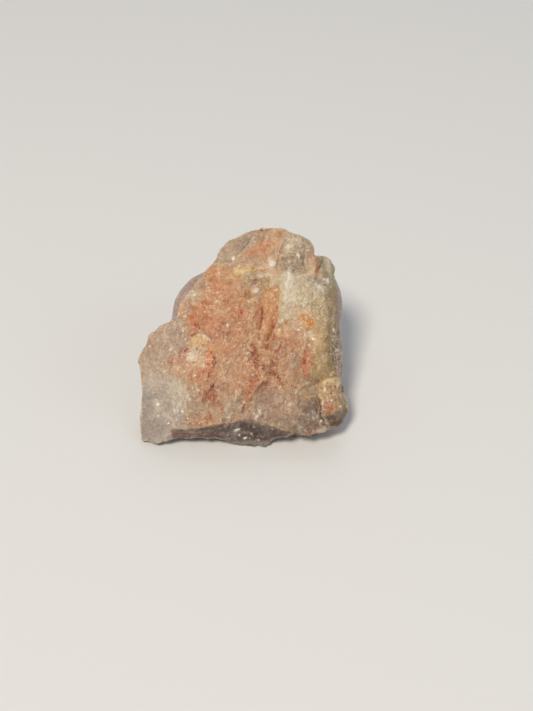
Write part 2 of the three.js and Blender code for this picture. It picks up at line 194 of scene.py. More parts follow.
relief = {  # millimetres throughout; places on the face as (u, v)
    # size and tilt of the face's breaks, and what share of them its calm parts keep
    "facets": ((2.8, 0.13, 0.6), (1.4, 0.15, 0.3), (0.75, 0.25, 0.25)),
    "grainStretch": 1.35,        # how much longer than broad those breaks are
    "terraceSize": 3.2,
    "terraceRise": 0.27,
    "grit": 0.05,
    "wallFacets": ((4.5, 0.20), (2.2, 0.24), (1.1, 0.20)),
    "wornLumps": 0.10,           # the back is worn smooth
    "wornPits": 0.10,
    "wornScallop": (9.0, 0.035),
    "calmSpots": [               # glassy breaks, with little relief of their own
        {"at": (15.6, -16.6), "size": (3.4, 5.6), "soft": 0.4},    # beside the lower right block
        {"at": (-2.0, 20.8), "size": (5.4, 2.8), "turn": 35, "soft": 0.3},   # scoop in the top lobe
        {"at": (-19.0, -16.0), "size": (5.6, 7.6), "soft": 0.4},   # lower left corner
        {"at": (5.8, -13.0), "size": (3.0, 2.6), "soft": 0.5},     # ringed scoop
        {"at": (0.0, -23.0), "size": (20.0, 2.6), "soft": 0.4},    # under the bottom edge
    ],
    "busySpots": [  # where the stone is shattered small: strength, middle, half sizes, turn
        (1, (6.4, -7.8), (3.4, 3.6)), (0.9, (3, -4.2), (1.4, 3.4), 10), (0.6, (6.5, -1), (2.6, 3.4), -20),
        (1, (4.5, 12.8), (3.4, 3)), (1, (21.6, -3), (1.4, 8)), (1, (21.2, -13.6), (3, 4)),
        (0.8, (17.8, 7), (2, 4.2)), (0.8, (12.6, 19.2), (3.8, 3.8)), (0.5, (12, 13.5), (4, 2.4)),
        (0.9, (3.5, -17.8), (2.2, 1.6), 20), (0.7, (-10.6, -12.8), (2.6, 3.2)),
        (0.9, (-7.4, -11.2), (1.7, 3.2), -20), (0.7, (-16.6, -6.4), (1, 2.2)),
        (0.8, (-10.4, -1.2), (2.6, 2.8)), (0.7, (-6.6, -5), (1, 2.4)), (0.5, (-2.6, -15.6), (3, 2.8)),
        (0.6, (15.6, -3.4), (1.5, 4.6)), (0.4, (16.2, -17), (2.2, 3.6)), (1, (8.9, 3.6), (1.2, 0.9)),
        (0.6, (13.4, 9.6), (5, 5)), (0.7, (-10.8, 10), (1.6, 1.6)), (0.8, (0, -22.5), (5, 2)),
        (0.4, (10, -15.5), (3, 2.6)), (0.6, (0.8, -11), (1.8, 3.6), -20), (0.4, (-20.2, -9.4), (2.4, 1.6)),
    ],
    "ringedScoops": [  # shell-like breaks, rippled round a point: middle, reach, depth, ripple, wave
        ((5.9, -13), 3.2, 0.55, 0.035, 0.85), ((-8.4, -18.9), 1.4, 0.4, 0.01, 0.8),
        ((-4.2, -19.2), 1.1, 0.35, 0.01, 0.8), ((-3, 22.4), 5, 0.3, 0.03, 1.1),
        ((14.4, -18), 3.4, 0.4, 0.02, 1), ((-20.6, -17.6), 4.6, 0.3, 0.02, 1.4),
    ],
    "ledges": [  # rise, reach, points; each stands up left of its line, or right if negative
        # lip under the top scoop
        (0.45, 2.2, [(3.6, 24.6), (2.1, 22.1), (0.1, 20), (-1.2, 18.4), (-2.4, 17.1), (-4.7, 17.3),
            (-7, 17)]),
        (0.55, 2.4, [(-7.2, -1.4), (-8, 0.2), (-9.8, 1.8), (-11.7, 0.8)]),
        (-0.35, 2.5, [(8.4, 3.4), (8.8, 7.5), (9.2, 11.4), (10.2, 14.6)]),
        # round the lower right block
        (-0.65, 2.2, [(19.4, -21.3), (18.7, -18.1), (18.3, -15.2), (17.2, -12.5), (19.6, -9.8),
            (22.6, -9.4)]),
        # bottom edge
        (0.35, 1.8, [(-17.4, -20.5), (-11.3, -20.8), (-4.9, -19.8), (-0.2, -18.8), (4.4, -19.9),
            (8.7, -21.2), (11.4, -22.2)]),
        (0.3, 1.2, [(12.9, -17.6), (12.7, -15), (13, -12.6), (15.6, -10.6)]),
        (0.22, 0.9, [(12.2, -18), (14.9, -18.1), (15.2, -21)]),
        (-0.5, 1, [(15.2, 15.2), (15, 19.2)]),
        (0.35, 1, [(21, 11.6), (19.2, 12), (19.4, 14)]),
        (0.3, 0.9, [(19, 10.4), (17, 10.8), (17.4, 12.6)]),
        (0.25, 1.3, [(-12.6, -2.3), (-15.5, -3.5), (-16.8, -5.2)]),
        (-0.3, 1.4, [(14.8, 15.4), (11.2, 15.6), (9.9, 17.8)]),
        (0.45, 1.6, [(0.3, -15.8), (2.4, -12.8), (4.7, -10), (7.2, -9.4)]),
        (0.55, 2, [(-9.2, -14.8), (-7.6, -11.4), (-5.6, -9)]),
        (0.25, 1.2, [(-0.8, -17.4), (0.3, -15.2), (2, -13.2)]),
        (0.25, 2.4, [(19.5, -9.4), (20.2, -5), (19.7, -1), (20.4, 5), (20.2, 12.2)]),
    ],
    "cracks": [  # open cracks: half width, depth, points
        (0.26, 0.22, [(5.1, 7.4), (4.8, 6), (4.4, 4.2), (4.3, 2.1)]),
        (0.28, 0.22, [(7.7, 4.7), (7.3, 2.8), (7, 1.6), (6.2, -0.7)]),
        (0.26, 0.4, [(-11.8, 0.9), (-10.5, 1.5), (-9.6, 1.9)]),
        (0.3, 0.15, [(17.5, 18.4), (17.9, 16.4), (17.8, 14.8)]),
        (0.3, 0.3, [(17.4, -12), (18.2, -14.9), (18.5, -18.1), (19.2, -21.2)]),
        (0.22, 0.2, [(9.1, -0.7), (8.8, -2.3), (7.7, -3.5)]),
        (0.34, 0.18, [(2.3, -0.9), (3.3, -3.3), (3.7, -5.3), (3.3, -6.7)]),
    ],
    "crystalPits": [  # hollows lined with small crystal ends: depth, middle, half sizes
        (0.5, (4.6, 13.3), (2.7, 2)), (0.35, (3.5, -17.6), (1.6, 1.2)),
    ],
    "ribs": [  # fine ribs: middle, half sizes, turn, breadth and depth
        ((21, -13.4), (2.8, 3.6), 6, 0.8, 0.07), ((-11.5, -21.9), (5.5, 1), 91, 0.8, 0.05),
        ((16.4, 8), (2.2, 4.5), -4, 0.9, 0.06),
    ],
    "swells": [  # where the outline stands out or draws in: mm, middle, half sizes, turn
        (0.8, (22.8, 9), (3.5, 9.5), 10), (0.7, (15.6, 22), (3, 2.6), -30), (0.9, (20.6, 17.5), (2.6, 2.6)),
        (-0.6, (4.6, 26.4), (3.2, 1.6)), (-0.6, (-6.6, 19), (1.8, 2.2), 40), (0.5, (19, -22), (2.6, 2), 20),
        (-0.9, (24.6, -11.6), (1.8, 2.6)), (0.4, (-17.2, -23.4), (1.6, 1.4)),
        (0.5, (18.1, 16.4), (1.2, 2.2)), (0.55, (22.5, -12.6), (1.1, 3.6)),
        (0.25, (20.8, -10.6), (2.4, 0.9)),
    ],
}


def vertexArrays(mesh):
    points = np.empty(len(mesh.vertices) * 3)
    normals = np.empty(len(mesh.vertices) * 3)
    mesh.vertices.foreach_get("co", points)
    mesh.vertex_normals.foreach_get("vector", normals)
    return points.reshape(-1, 3), normals.reshape(-1, 3)


def evenedOut(mesh, values, rounds, regain=0.0):  # values drawn towards their neighbours'
    ends = np.empty(len(mesh.edges) * 2, np.int32)
    mesh.edges.foreach_get("vertices", ends)
    first, second = ends[0::2], ends[1::2]
    total = len(values)
    count = np.bincount(ends, minlength=total)[:, None]
    for pull in ((0.5, -regain) if regain else (0.5,)) * rounds:
        drawn = [
            np.bincount(first, column[second], total) + np.bincount(second, column[first], total)
            for column in values.T
        ]
        values = values + pull * (np.stack(drawn, axis=1) / count - values)
    return values


def setPoints(mesh, points):
    points[:, 2] = np.maximum(points[:, 2], 0.0)
    mesh.vertices.foreach_set("co", points.ravel())
    mesh.update()


def rebuiltStone():
    source = bpy.data.objects[stone["node"]]
    piece = bpy.data.objects.new("roughStrawberryQuartz", source.data.copy())
    bpy.context.scene.collection.objects.link(piece)
    remesh = piece.modifiers.new("evenMesh", "REMESH")
    remesh.mode = "VOXEL"
    remesh.voxel_size = stone["voxel"] / 1000.0
    evaluated = piece.evaluated_get(bpy.context.evaluated_depsgraph_get())
    mesh = bpy.data.meshes.new_from_object(evaluated)
    piece.modifiers.clear()
    piece.data = mesh
    points = vertexArrays(mesh)[0]
    setPoints(mesh, evenedOut(mesh, points, stone["rounding"], stone["regain"]))
    mesh.shade_smooth()
    return piece


# The back is worn, and shows past the rim at the upper left and far right of the face.
worn = {
    "depth": 8.5,                                     # mm behind the face where the wear begins
    "shallow": ((139.0, 34.0, 7.4), (14.0, 16.0, 2.5)),   # direction, spread, how much sooner
}


def brokenShare(u, v, w):  # 1 on the broken face and walls, 0 on the worn back
    direction = np.degrees(np.arctan2(v, u))
    begins = worn["depth"] + 1.2 * layeredNoise(u, v, w, 7.0, 11)
    for middle, spread, sooner in worn["shallow"]:
        away = np.abs((direction - middle + 180.0) % 360.0 - 180.0)
        begins = begins - sooner * (1.0 - smooth(away, 0.7 * spread, 1.3 * spread))
    return 1.0 - smooth(-w - begins, -0.35, 0.35)


def calmShare(u, v):
    calm = np.zeros(u.shape)
    for spot in relief["calmSpots"]:
        calm = np.maximum(calm, ovalShare(u, v, **spot))
    return calm


def busyShare(u, v, w):  # 1 where the stone is shattered small, near 0 where it broke cleanly
    busy = 0.1 + 0.45 * smooth(layeredNoise(u, v, w, 4.5, 13, 2), 0.0, 0.7)
    busy = np.maximum(busy, strongest(u, v, relief["busySpots"], 0.6))
    return busy * (1.0 - 0.8 * calmShare(u, v))


def faceHeight(u, v, w):
    grain = math.radians(stone["grainLean"])
    bend = 0.5 * layeredNoise(u, v, w, 4.0, 1)
    across = u * math.cos(grain) - v * math.sin(grain) + bend
    along = v * math.cos(grain) + u * math.sin(grain) + bend
    busy = busyShare(u + 2.0 * bend, v - 2.0 * bend, w)
    height = sum(
        scallops(across, along / relief["grainStretch"], size, tilt, 20 + k)
        * (calm + (1.0 - calm) * busy)
        for k, (size, tilt, calm) in enumerate(relief["facets"])
    )
    steps = layeredNoise(across, along * 0.6, w * 0.3, relief["terraceSize"], 4)
    height = height + relief["terraceRise"] * (terraces(steps, 4.0) - steps)
    height = height * (1.0 - 0.6 * calmShare(u + 2.0 * bend, v - 2.0 * bend))
    ragged = 0.5 * layeredNoise(u, v, w, 1.4, 3)
    for at, reach, depth, ripple, wave in relief["ringedScoops"]:
        away = np.hypot(u - at[0], v - at[1])
        inside = 1.0 - smooth(away + ragged, 0.85 * reach, 1.05 * reach)
        rings = ripple * np.sin(2.0 * math.pi * away / wave)
        bowl = depth * (1.0 - (away / reach) ** 2)
        height = height + inside * (rings - np.maximum(bowl, 0.0))
    for rise, reach, points in relief["ledges"]:
        signed, reached, length = alongLine(u + ragged, v + ragged, points)
        fade = smooth(np.minimum(reached, length - reached), 0.0, min(1.5, 0.3 * length))
        signed = math.copysign(1.0, rise) * signed
        beside = smooth(signed, -0.25, 0.25) * np.exp(-np.maximum(signed, 0.0) / reach)
        height = height + abs(rise) * fade * beside
    for width, depth, points in relief["cracks"]:
        height = height - depth * lineShare(u + ragged, v, points, width, 0.9)
    for at, size, turn, breadth, depth in relief["ribs"]:
        ribbed = u * math.cos(math.radians(turn)) + v * math.sin(math.radians(turn))
        wave = np.sin(2.0 * math.pi * ribbed / breadth + 2.5 * layeredNoise(u, v, w, 1.6, 7, 2))
        height = height + depth * wave * ovalShare(u, v, at, size, 0.0, 0.6)
    for depth, at, size in relief["crystalPits"]:
        inside = ovalShare(u + ragged, v + ragged, at, size, 0.0, 0.35)
        ends = scallops(u * 0.8 - v * 0.6, v * 0.8 + u * 0.6, 0.85, 0.55, 41)
        height = height - inside * (depth * 0.6 + ends)
    return height


def carve(piece):
    mesh = piece.data
    points, normals = vertexArrays(mesh)
    u, v, w = toFace(points)
    bend = 0.5 * layeredNoise(u, v, w, 4.0, 1)
    facing = smooth(normals @ axisW, 0.15, 0.6)
    broken = brokenShare(u, v, w)
    wall = sum(
        scallops(u + 0.7 * w + bend, v - 0.5 * w - bend, size, tilt, 30 + k)
        for k, (size, tilt) in enumerate(relief["wallFacets"])
    )
    grit = relief["grit"] * layeredNoise(u, v, w, 0.8, 9, 2)
    rough = facing * faceHeight(u, v, w) + (1.0 - facing) * wall + grit
    pits = np.maximum(0.0, layeredNoise(u, v, w, 1.3, 6, 2) - 0.55)
    size, tilt = relief["wornScallop"]
    wornHeight = relief["wornLumps"] * layeredNoise(u, v, w, 5.0, 12) - relief["wornPits"] * pits
    wornHeight = wornHeight + scallops(u + bend, v + 0.4 * w, size, tilt, 50)
    height = broken * rough + (1.0 - broken) * wornHeight
    for rise, *oval in relief["swells"]:
        height = height + rise * ovalShare(u, v, *oval, soft=0.6)
    setPoints(mesh, points + normals * (height / 1000.0)[:, None])


# Colours of the stone, and where each lies on the face.
colouring = {
    "palette": {  # sRGB
        "salmon": "#c0946c", "deepSalmon": "#cd9865", "paleSalmon": "#c29e79", "pinkBeige": "#bc987a",
        "orange": "#ca9260", "redOrange": "#c88054", "rust": "#ad6238", "flame": "#d0683a",
        "ironRed": "#a5583a", "darkRed": "#862a0a", "plum": "#94634e", "ochre": "#dcbc7c",
        "amber": "#cc8422", "cream": "#cab899", "peachCream": "#caa480", "sand": "#ceae8a",
        "brightOrange": "#e6a97a", "yellowCream": "#c4a070", "flakeCream": "#e6bf88",
        "flakeWhite": "#d8ba98", "white": "#f2ebe0", "khakiAndShade": "#907a4a", "tan": "#b5986c",
        "greyBeige": "#b09a80", "greenGrey": "#8c8058", "leftBeige": "#b89f8b", "lilacGrey": "#a79a8f",
        "paleLilac": "#cbbdab", "lilac": "#ae9389", "warmGrey": "#aa917a", "greyBrownAndShade": "#857160",
        "blockBrownUnderShade": "#50301c", "plumBrownUnderShade": "#3a1c14",
    },
    "zones": [  # colour, strength, softness and raggedness in mm, outline; later ones lie over
        ("paleSalmon", 0.8, 3, 1.6, [(-2, 27), (13, 27), (13, 22), (9, 17), (3, 17), (0, 19)]),
        ("greyBeige", 0.9, 1.4, 0.9, [(-8, 17), (-7, 21), (-4, 24), (2, 26.5), (3.8, 23.5), (3.2, 22),
            (1.2, 20.6), (-0.8, 18.6), (-2.4, 17.4), (-4.7, 17.5)]),
        ("greyBeige", 0.9, 2.2, 1.8, [(9.5, 22), (11, 26), (18, 24), (18, 19), (17, 15.5), (14.9, 15),
            (11.2, 15.3), (8.5, 16.2), (9, 19)]),
        ("sand", 0.9, 2.2, 1.6, [(-1.5, 15.2), (1, 17.3), (5, 17.5), (9, 17), (10, 12), (7.5, 11.8),
            (5.5, 11.2), (2, 12), (-0.8, 12.5)]),
        ("orange", 0.7, 2.6, 2, [(-8, 15.5), (-6.5, 17), (-3, 17.2), (-1, 15.5), (-0.5, 12), (-3, 10.5),
            (-6, 11.5)]),
        ("cream", 1, 1.8, 1.3, [(9, 10.8), (8.6, 13), (9.3, 15.5), (11.2, 15.6), (14.7, 15), (17.5, 14),
            (21, 13.2), (21.4, 11), (19.6, 9.5), (18, 8), (17, 5.5), (15, 5.2), (12.5, 4), (10.5, 3.2),
            (8.3, 3.6), (8.9, 8)]),
        ("peachCream", 0.85, 2, 1.6, [(8, 3.7), (11.2, 3.6), (13.5, 4.7), (17, 4), (17, 0.5), (13.5, -1),
            (9.8, -0.2)]),
        ("deepSalmon", 0.9, 0.7, 0.3, [(5, 11.8), (7, 12.2), (9.2, 11.2), (9, 8), (8.6, 5.5), (8, 3.2),
            (6.9, 0.5), (5.2, 1), (5.2, 6)]),
        ("tan", 0.95, 2.2, 1.2, [(17, 6), (18, 9.5), (20.5, 10.5), (21.2, 4), (21, -9.3), (17.9, -12.1),
            (16.2, -9.8), (16.8, -2.8), (16.5, 2)]),
        # painted shade: the right band, where the face turns away from the light, darkened to khaki
        ("khakiAndShade", 0.9, 1.8, 1, [(19.6, 12.4), (22, 13.4), (22.5, 9), (21.8, 0), (21.6, -9), (19.8, -9.3),
            (19.8, -2), (20, 5)]),
        # painted shade: the wall at the right edge, darkened in tan and grey brown
        ("tan", 0.6, 1.4, 1, [(22, 12.5), (26, 12), (26, -9.8), (21.8, -9.8), (22, 0), (22.4, 8)]),
        ("greyBrownAndShade", 0.7, 1.2, 1, [(22, 12.5), (26, 12), (26, -9.8), (21.2, -9.8), (21.6, 0), (22.2, 8)]),
        ("greenGrey", 0.95, 0.9, 0.5, [(18.2, 19.5), (18.6, 15), (20, 12.9), (23, 12.5), (22.5, 20)]),
        ("leftBeige", 1, 2.8, 1.8, [(-26, -9), (-26, -3), (-22.5, 0.5), (-19.5, 4), (-15.5, 5.5),
            (-13.3, 3.4), (-12.8, 0), (-13.5, -2.6), (-16.5, -4.5), (-15.5, -8), (-17, -9.5), (-20, -9.8)]),
        ("pinkBeige", 0.6, 2.2, 1.4, [(-15.5, -4.5), (-12.5, -2.6), (-12.3, -7), (-13, -9.8), (-16, -9.5)]),
        ("lilacGrey", 1, 2.8, 1.8, [(-26, -9.2), (-20.2, -9.4), (-16.5, -9.6), (-14.2, -10.4),
            (-13.6, -13.5), (-14, -16.7), (-13.4, -20.5), (-16.4, -20.9), (-16.2, -27), (-26, -27)]),
        ("paleLilac", 0.9, 1.5, 1.1, [(-17.2, -10.4), (-14.6, -9.9), (-13.2, -11.8), (-13.4, -15),
            (-13.8, -17.5), (-15.2, -16), (-16.8, -13.5)]),
        ("orange", 0.5, 2.6, 2.2, [(-11.5, -6.8), (-8.6, -5.6), (-6.3, -7.4), (-5.2, -10.5),
            (-5.4, -14.6), (-8.4, -15.8), (-11.6, -15.2), (-12.2, -11.6)]),
        ("greyBeige", 0.8, 2, 1.6, [(-6, -14), (-1.2, -13.8), (0.6, -16), (-1, -18.4), (-5.5, -19.8)]),
        ("warmGrey", 0.85, 2.4, 1.8, [(3.7, -12.2), (8, -11.9), (12.6, -12.4), (13.4, -17), (11, -21),
            (4.7, -19.8), (1.5, -16.3)]),
        ("warmGrey", 0.6, 2, 1.4, [(12.4, -10), (16.5, -9.6), (17.6, -12.4), (15, -13.2), (12, -12.8)]),
        # painted shade over the lower right, beside and below the block
        ("greyBrownAndShade", 1, 2.6, 1.3, [(14.2, -13.8), (15.6, -12.6), (18.4, -12.6), (20, -15.2), (20, -18.6),
            (21, -21.2), (20, -26), (9, -26), (10, -21.4), (13.4, -18)]),
        ("yellowCream", 1, 0.5, 0.3, [(17.1, -12.7), (18.7, -10.4), (20.5, -9.8), (26, -9.6), (26, -17),
            (21.8, -17.4), (19, -18), (18.4, -15.5)]),
        # painted shade: the underside of the lower right block, a brown darkened as if in shade
        ("blockBrownUnderShade", 0.9, 0.9, 0.6, [(19.2, -18.4), (21.2, -17.4), (26, -16.9), (26, -25), (19.5, -25)]),
        ("flakeCream", 0.95, 0.6, 0.35, [(-12.3, -1.8), (-11.6, 0.3), (-9.8, 1.5), (-8.1, 0.4),
            (-7.6, -1), (-8.6, -2.6), (-10.5, -2.9)]),
        ("flakeWhite", 0.85, 1.6, 1.1, [(-13.4, -3), (-10.6, -2.4), (-8.4, -2.4), (-8.2, -5.4),
            (-9.4, -7.2), (-12.2, -6.8), (-13.2, -5)]),
        # painted shade: the underside below the bottom edge, a reddish brown darkened as if in shade
        ("plumBrownUnderShade", 0.95, 0.5, 0.15, [(-16.9, -20.8), (-11.3, -20.8), (-4.9, -19.8), (-0.2, -19),
            (4.4, -20.1), (8.7, -21.4), (11.4, -22.4), (11.4, -30), (-16.5, -30), (-16.6, -23.5)]),
    ],
    "spots": [  # colour, strength, middle, half sizes, and turn and softness if not 0 and 0.95
        ("warmGrey", 0.75, (3.8, 24), (3.2, 1.8)), ("warmGrey", 0.4, (-1, 21.5), (4.4, 2.6), 35, 0.9),
        ("redOrange", 0.65, (5, 21.2), (2.2, 1), 20), ("peachCream", 0.6, (8.1, 22), (0.9, 0.9), 0, 0.9),
        ("ironRed", 0.4, (9.2, 24.1), (0.8, 0.5), 0, 0.8),
        ("cream", 0.9, (11.6, 21.2), (1.1, 1.8), -10, 0.9),
        ("white", 0.3, (11.6, 21.4), (0.7, 1.3), -10, 0.9),
        ("cream", 0.5, (13.2, 19.6), (0.7, 1.3), 20, 0.9),
        # painted shade on the step that faces down under the top lobe
        ("greyBrownAndShade", 0.6, (12.3, 16.4), (2.8, 0.9), 0, 0.9),
        ("greyBrownAndShade", 0.55, (14.4, 19.3), (1.3, 2.1), 0, 0.9),
        ("sand", 0.8, (16.3, 17), (0.8, 2.4), -4, 0.7),
        ("ironRed", 0.45, (17.8, 16.5), (0.55, 1.7), 8, 0.6),
        ("brightOrange", 0.4, (17.8, 16.8), (0.5, 1.4), 8, 0.7),
        ("greyBrownAndShade", 0.85, (19, 16.8), (1.1, 2.4), -5, 0.9),
        ("cream", 0.8, (20.9, 16), (0.5, 2.2), 10, 0.6), ("white", 0.6, (7.5, 17.5), (0.8, 1), 0, 0.8),
        ("redOrange", 0.15, (3.6, 18.9), (2.6, 1), 10), ("ochre", 0.7, (1.2, 15.6), (2.2, 1), 5, 0.9),
        ("ochre", 0.85, (3.1, 16.1), (0.8, 0.9), 0, 0.8), ("rust", 0.5, (2.8, 16.4), (0.3, 0.8), -15, 0.8),
        ("ochre", 0.6, (-1, 14.4), (1.3, 0.7), 20, 0.9), ("greyBrownAndShade", 0.25, (4, 13.3), (1.7, 1), 0, 0.9),
        ("sand", 0.6, (0.1, 12.7), (1.7, 1.4), 0, 0.9), ("cream", 0.45, (7, 13.2), (1.2, 1.4), 0, 0.9),
        ("white", 0.35, (5.9, 14.6), (1.1, 0.6), 0, 0.9), ("white", 0.5, (11.2, 13.5), (0.8, 2.3), -6, 0.8),
        ("white", 0.35, (13.6, 14.1), (1.6, 0.6), 0, 0.9), ("white", 0.5, (20, 12.9), (0.9, 0.5), 30, 0.6),
        ("greyBeige", 0.6, (16.4, 12.2), (3, 2), -10), ("white", 0.35, (17.9, 11.4), (1.2, 0.5), -30, 0.8),
        ("greyBrownAndShade", 0.85, (17.6, 12.7), (1.8, 1.3), -15, 0.9),
        ("cream", 0.9, (11, 8.2), (2.2, 2.6), 0, 0.9), ("white", 0.35, (11.2, 8.2), (1.6, 1.9), 0, 0.9),
        ("peachCream", 0.5, (13.2, 6.2), (2.6, 1.4)), ("rust", 0.35, (-5, 14.3), (1.3, 0.8), 20, 0.9),
        ("redOrange", 0.35, (-5.2, 10.6), (3.6, 2.2), 20), ("redOrange", 0.3, (-8.8, 5.8), (2, 1.8), 20),
        ("redOrange", 0.45, (-1, 3.6), (2.6, 2)), ("redOrange", 0.3, (-3.2, -2), (2.4, 2.6)),
        ("redOrange", 0.25, (-3, -10.6), (2.2, 1.6)), ("deepSalmon", 0.5, (1, 8.2), (2.2, 2)),
        ("cream", 1, (-10.7, 10), (1.4, 1.4), 0, 0.9), ("peachCream", 0.6, (-12.4, 8), (1, 1.8), -20, 0.9),
        ("redOrange", 0.4, (-9.5, 7.4), (1.8, 1.3)), ("flame", 0.5, (-11.1, 3.9), (0.7, 2), 20, 0.8),
        ("flame", 0.85, (0.2, 6.1), (1.1, 0.6), -10, 0.7),
        ("rust", 0.75, (-6.7, 6.1), (0.45, 0.75), 20, 0.8), ("ironRed", 0.5, (-5.6, 1.6), (2.2, 1.2), 30),
        ("plum", 0.55, (-6.5, 0.9), (1, 0.7), -20, 0.9), ("plum", 0.45, (-4.9, 2.4), (1.3, 0.6), 45, 0.9),
        ("darkRed", 0.65, (-2.8, 1.4), (0.8, 0.35), 20, 0.8), ("warmGrey", 1, (-20, -0.6), (3.4, 2.8), 20),
        ("flakeWhite", 0.5, (-17.2, -6.6), (2, 1.5)), ("rust", 0.35, (-13.4, -2.6), (1.3, 0.5), 15, 0.9),
        ("rust", 0.2, (-14.9, -4.6), (1.8, 0.9), 35), ("white", 0.55, (-12, -3.9), (0.9, 0.8), 0, 0.9),
        ("amber", 0.22, (-9.8, -0.6), (0.9, 0.9), 0, 0.9), ("redOrange", 0.65, (-9, -8.2), (1.6, 1.7), 20),
        ("sand", 0.7, (-10.5, -12.6), (1.5, 1.8)), ("darkRed", 1, (-7, -10.9), (0.42, 0.7), 0, 0.7),
        ("rust", 0.9, (-7.2, -13), (1.4, 1.9), -25), ("greyBeige", 0.8, (-9.8, -16.6), (3.2, 1.8), 0, 0.9),
        ("redOrange", 0.5, (-8.8, -18.9), (2.4, 0.9), 0, 0.9),
        ("ochre", 0.8, (-14.2, -11.4), (0.45, 0.5), 0, 0.8),
        ("rust", 0.35, (-20.3, -1.8), (0.6, 0.6), 0, 0.8), ("pinkBeige", 0.6, (-3, -8), (4.4, 4.6)),
        ("pinkBeige", 0.5, (-3.8, -10.4), (1.4, 0.6), 0, 0.9),
        ("brightOrange", 0.7, (1.4, -11.9), (0.8, 1.9), -35, 0.8),
        ("ironRed", 0.35, (3.4, -11.4), (0.9, 1.7), 0, 0.9), ("redOrange", 0.45, (4.8, -9.2), (2, 1)),
        # painted shade in the ringed scoop
        ("greyBrownAndShade", 0.7, (5.8, -13.1), (2.6, 2.2), 0, 0.9),
        ("greyBrownAndShade", 0.5, (5, -17.6), (3.2, 1.3), 10), ("greyBrownAndShade", 0.4, (9.8, -19.2), (3.2, 1.4), -15),
        ("greyBrownAndShade", 0.5, (15.6, -10.6), (1.6, 1.6)),
        ("greyBeige", 0.6, (1.2, -17.4), (1.8, 1.2), 10, 0.9), ("warmGrey", 0.6, (-3, -17.2), (2.4, 1.2)),
        ("greyBrownAndShade", 0.85, (12.4, -19.6), (2, 1.5), 0, 0.9),
        # painted shade beside and under the lower right block
        ("blockBrownUnderShade", 0.35, (17.8, -16), (0.9, 3), 5, 0.9),
        ("blockBrownUnderShade", 0.25, (16.5, -20.8), (1.4, 0.9), 0, 0.9),
        ("tan", 0.35, (15.2, -13.9), (1.4, 0.9), 0, 0.9), ("plum", 0.35, (16.2, -21.2), (1.8, 1.2), 0, 0.9),
        ("greyBrownAndShade", 0.5, (-3.8, -19.2), (1, 0.7), 0, 0.8),
        ("darkRed", 0.6, (0, -16.6), (0.35, 0.8), -30, 0.8),
        ("plum", 0.5, (10.2, -10.9), (1.3, 0.7), 10, 0.9),
        ("pinkBeige", 0.6, (8.6, -11.8), (0.9, 0.6), 0, 0.9), ("warmGrey", 0.65, (12.4, -4.6), (2, 3.8)),
        ("deepSalmon", 0.45, (11.8, 0.2), (2, 2.6)), ("redOrange", 0.6, (10.8, -1.4), (0.55, 0.5), 0, 0.8),
        ("redOrange", 0.6, (11.5, -14.2), (0.6, 0.4), 20, 0.8),
        ("redOrange", 0.45, (9, -17.9), (1.3, 0.4), 15, 0.9),
        ("white", 0.4, (10.7, -15.5), (0.9, 0.5), 0, 0.9), ("ochre", 0.3, (15.2, 3.4), (1.6, 1.5)),
        ("flakeWhite", 1, (15.3, 0.3), (1.8, 1), 0, 0.9), ("white", 0.7, (15.3, 0.4), (1.1, 0.7), 0, 0.9),
        ("tan", 0.5, (21.3, 6.4), (0.9, 2.4), 0, 0.9), ("cream", 0.4, (18, 7), (1.3, 2.2), 0, 0.9),
        # painted shade on the right band
        ("khakiAndShade", 0.6, (22.4, 8.4), (0.8, 3.2), 0, 0.9), ("greyBrownAndShade", 0.6, (21.4, -2.2), (1, 2.4), 0, 0.9),
        ("brightOrange", 0.55, (14.9, -5.4), (0.9, 2.2), 0, 0.9),
        ("flakeWhite", 0.9, (15.4, -2.2), (1.1, 2.2), 0, 0.9),
        ("khakiAndShade", 0.3, (15.5, -10), (1.5, 1.2), 0, 0.9), ("paleSalmon", 0.75, (7.2, -8.4), (2.2, 2.8)),
        ("orange", 0.7, (5.6, -0.8), (2.2, 2.8)), ("sand", 0.35, (2.5, 5), (1.7, 1.7)),
        ("peachCream", 0.9, (15.4, -2), (1, 1.9), 0, 0.9), ("khakiAndShade", 0.7, (17.6, -8.4), (1.9, 2.8)),
        ("ochre", 0.5, (18, -6.4), (0.5, 0.9), 0, 0.8), ("ochre", 0.35, (18.4, -1.6), (1.2, 1.6)),
        ("cream", 0.6, (19.6, -10.2), (1.2, 0.7), 0, 0.8), ("ochre", 0.5, (21.4, -11), (0.8, 1.2), 0, 0.9),
        # painted shade down the right side of the lower block
        ("khakiAndShade", 0.85, (22.9, -13.6), (1.5, 3.4), 5, 0.9), ("greyBrownAndShade", 0.3, (22.6, -12.8), (1.1, 1.8)),
        ("rust", 0.9, (19.7, -16.4), (1.4, 1.4), 0, 0.9),
        # painted shade under the lower right block
        ("blockBrownUnderShade", 0.5, (22, -19), (2.2, 1.4), 0, 0.9),
        ("paleLilac", 0.8, (-19.9, -15), (1.3, 1.1), 20), ("paleLilac", 0.6, (-20, -17.6), (1.6, 0.8), 10),
        ("paleLilac", 0.6, (-20.5, -9.8), (2.2, 1.3), -20),
        ("flakeWhite", 0.7, (-17, -18.2), (0.5, 1.5), 35, 0.9),
        ("greyBrownAndShade", 0.2, (-20.2, -12.3), (2.6, 0.9), 10), ("greyBrownAndShade", 0.3, (-22, -15.4), (1, 1.4), -10),
        ("greyBrownAndShade", 0.45, (-21.2, -20.4), (2.2, 1.4), -10),
        ("greyBrownAndShade", 0.5, (1.4, 22.8), (2.8, 1.4), 15), ("warmGrey", 0.7, (2.6, 17.8), (3.8, 1.1)),
        ("cream", 0.6, (2.7, 14.6), (1.4, 1)), ("cream", 0.25, (1.2, 12.4), (2, 1.2)),
        ("rust", 0.22, (-3.8, 12.6), (2.6, 3.6)), ("redOrange", 0.35, (-7, 5.2), (1.8, 4.2)),
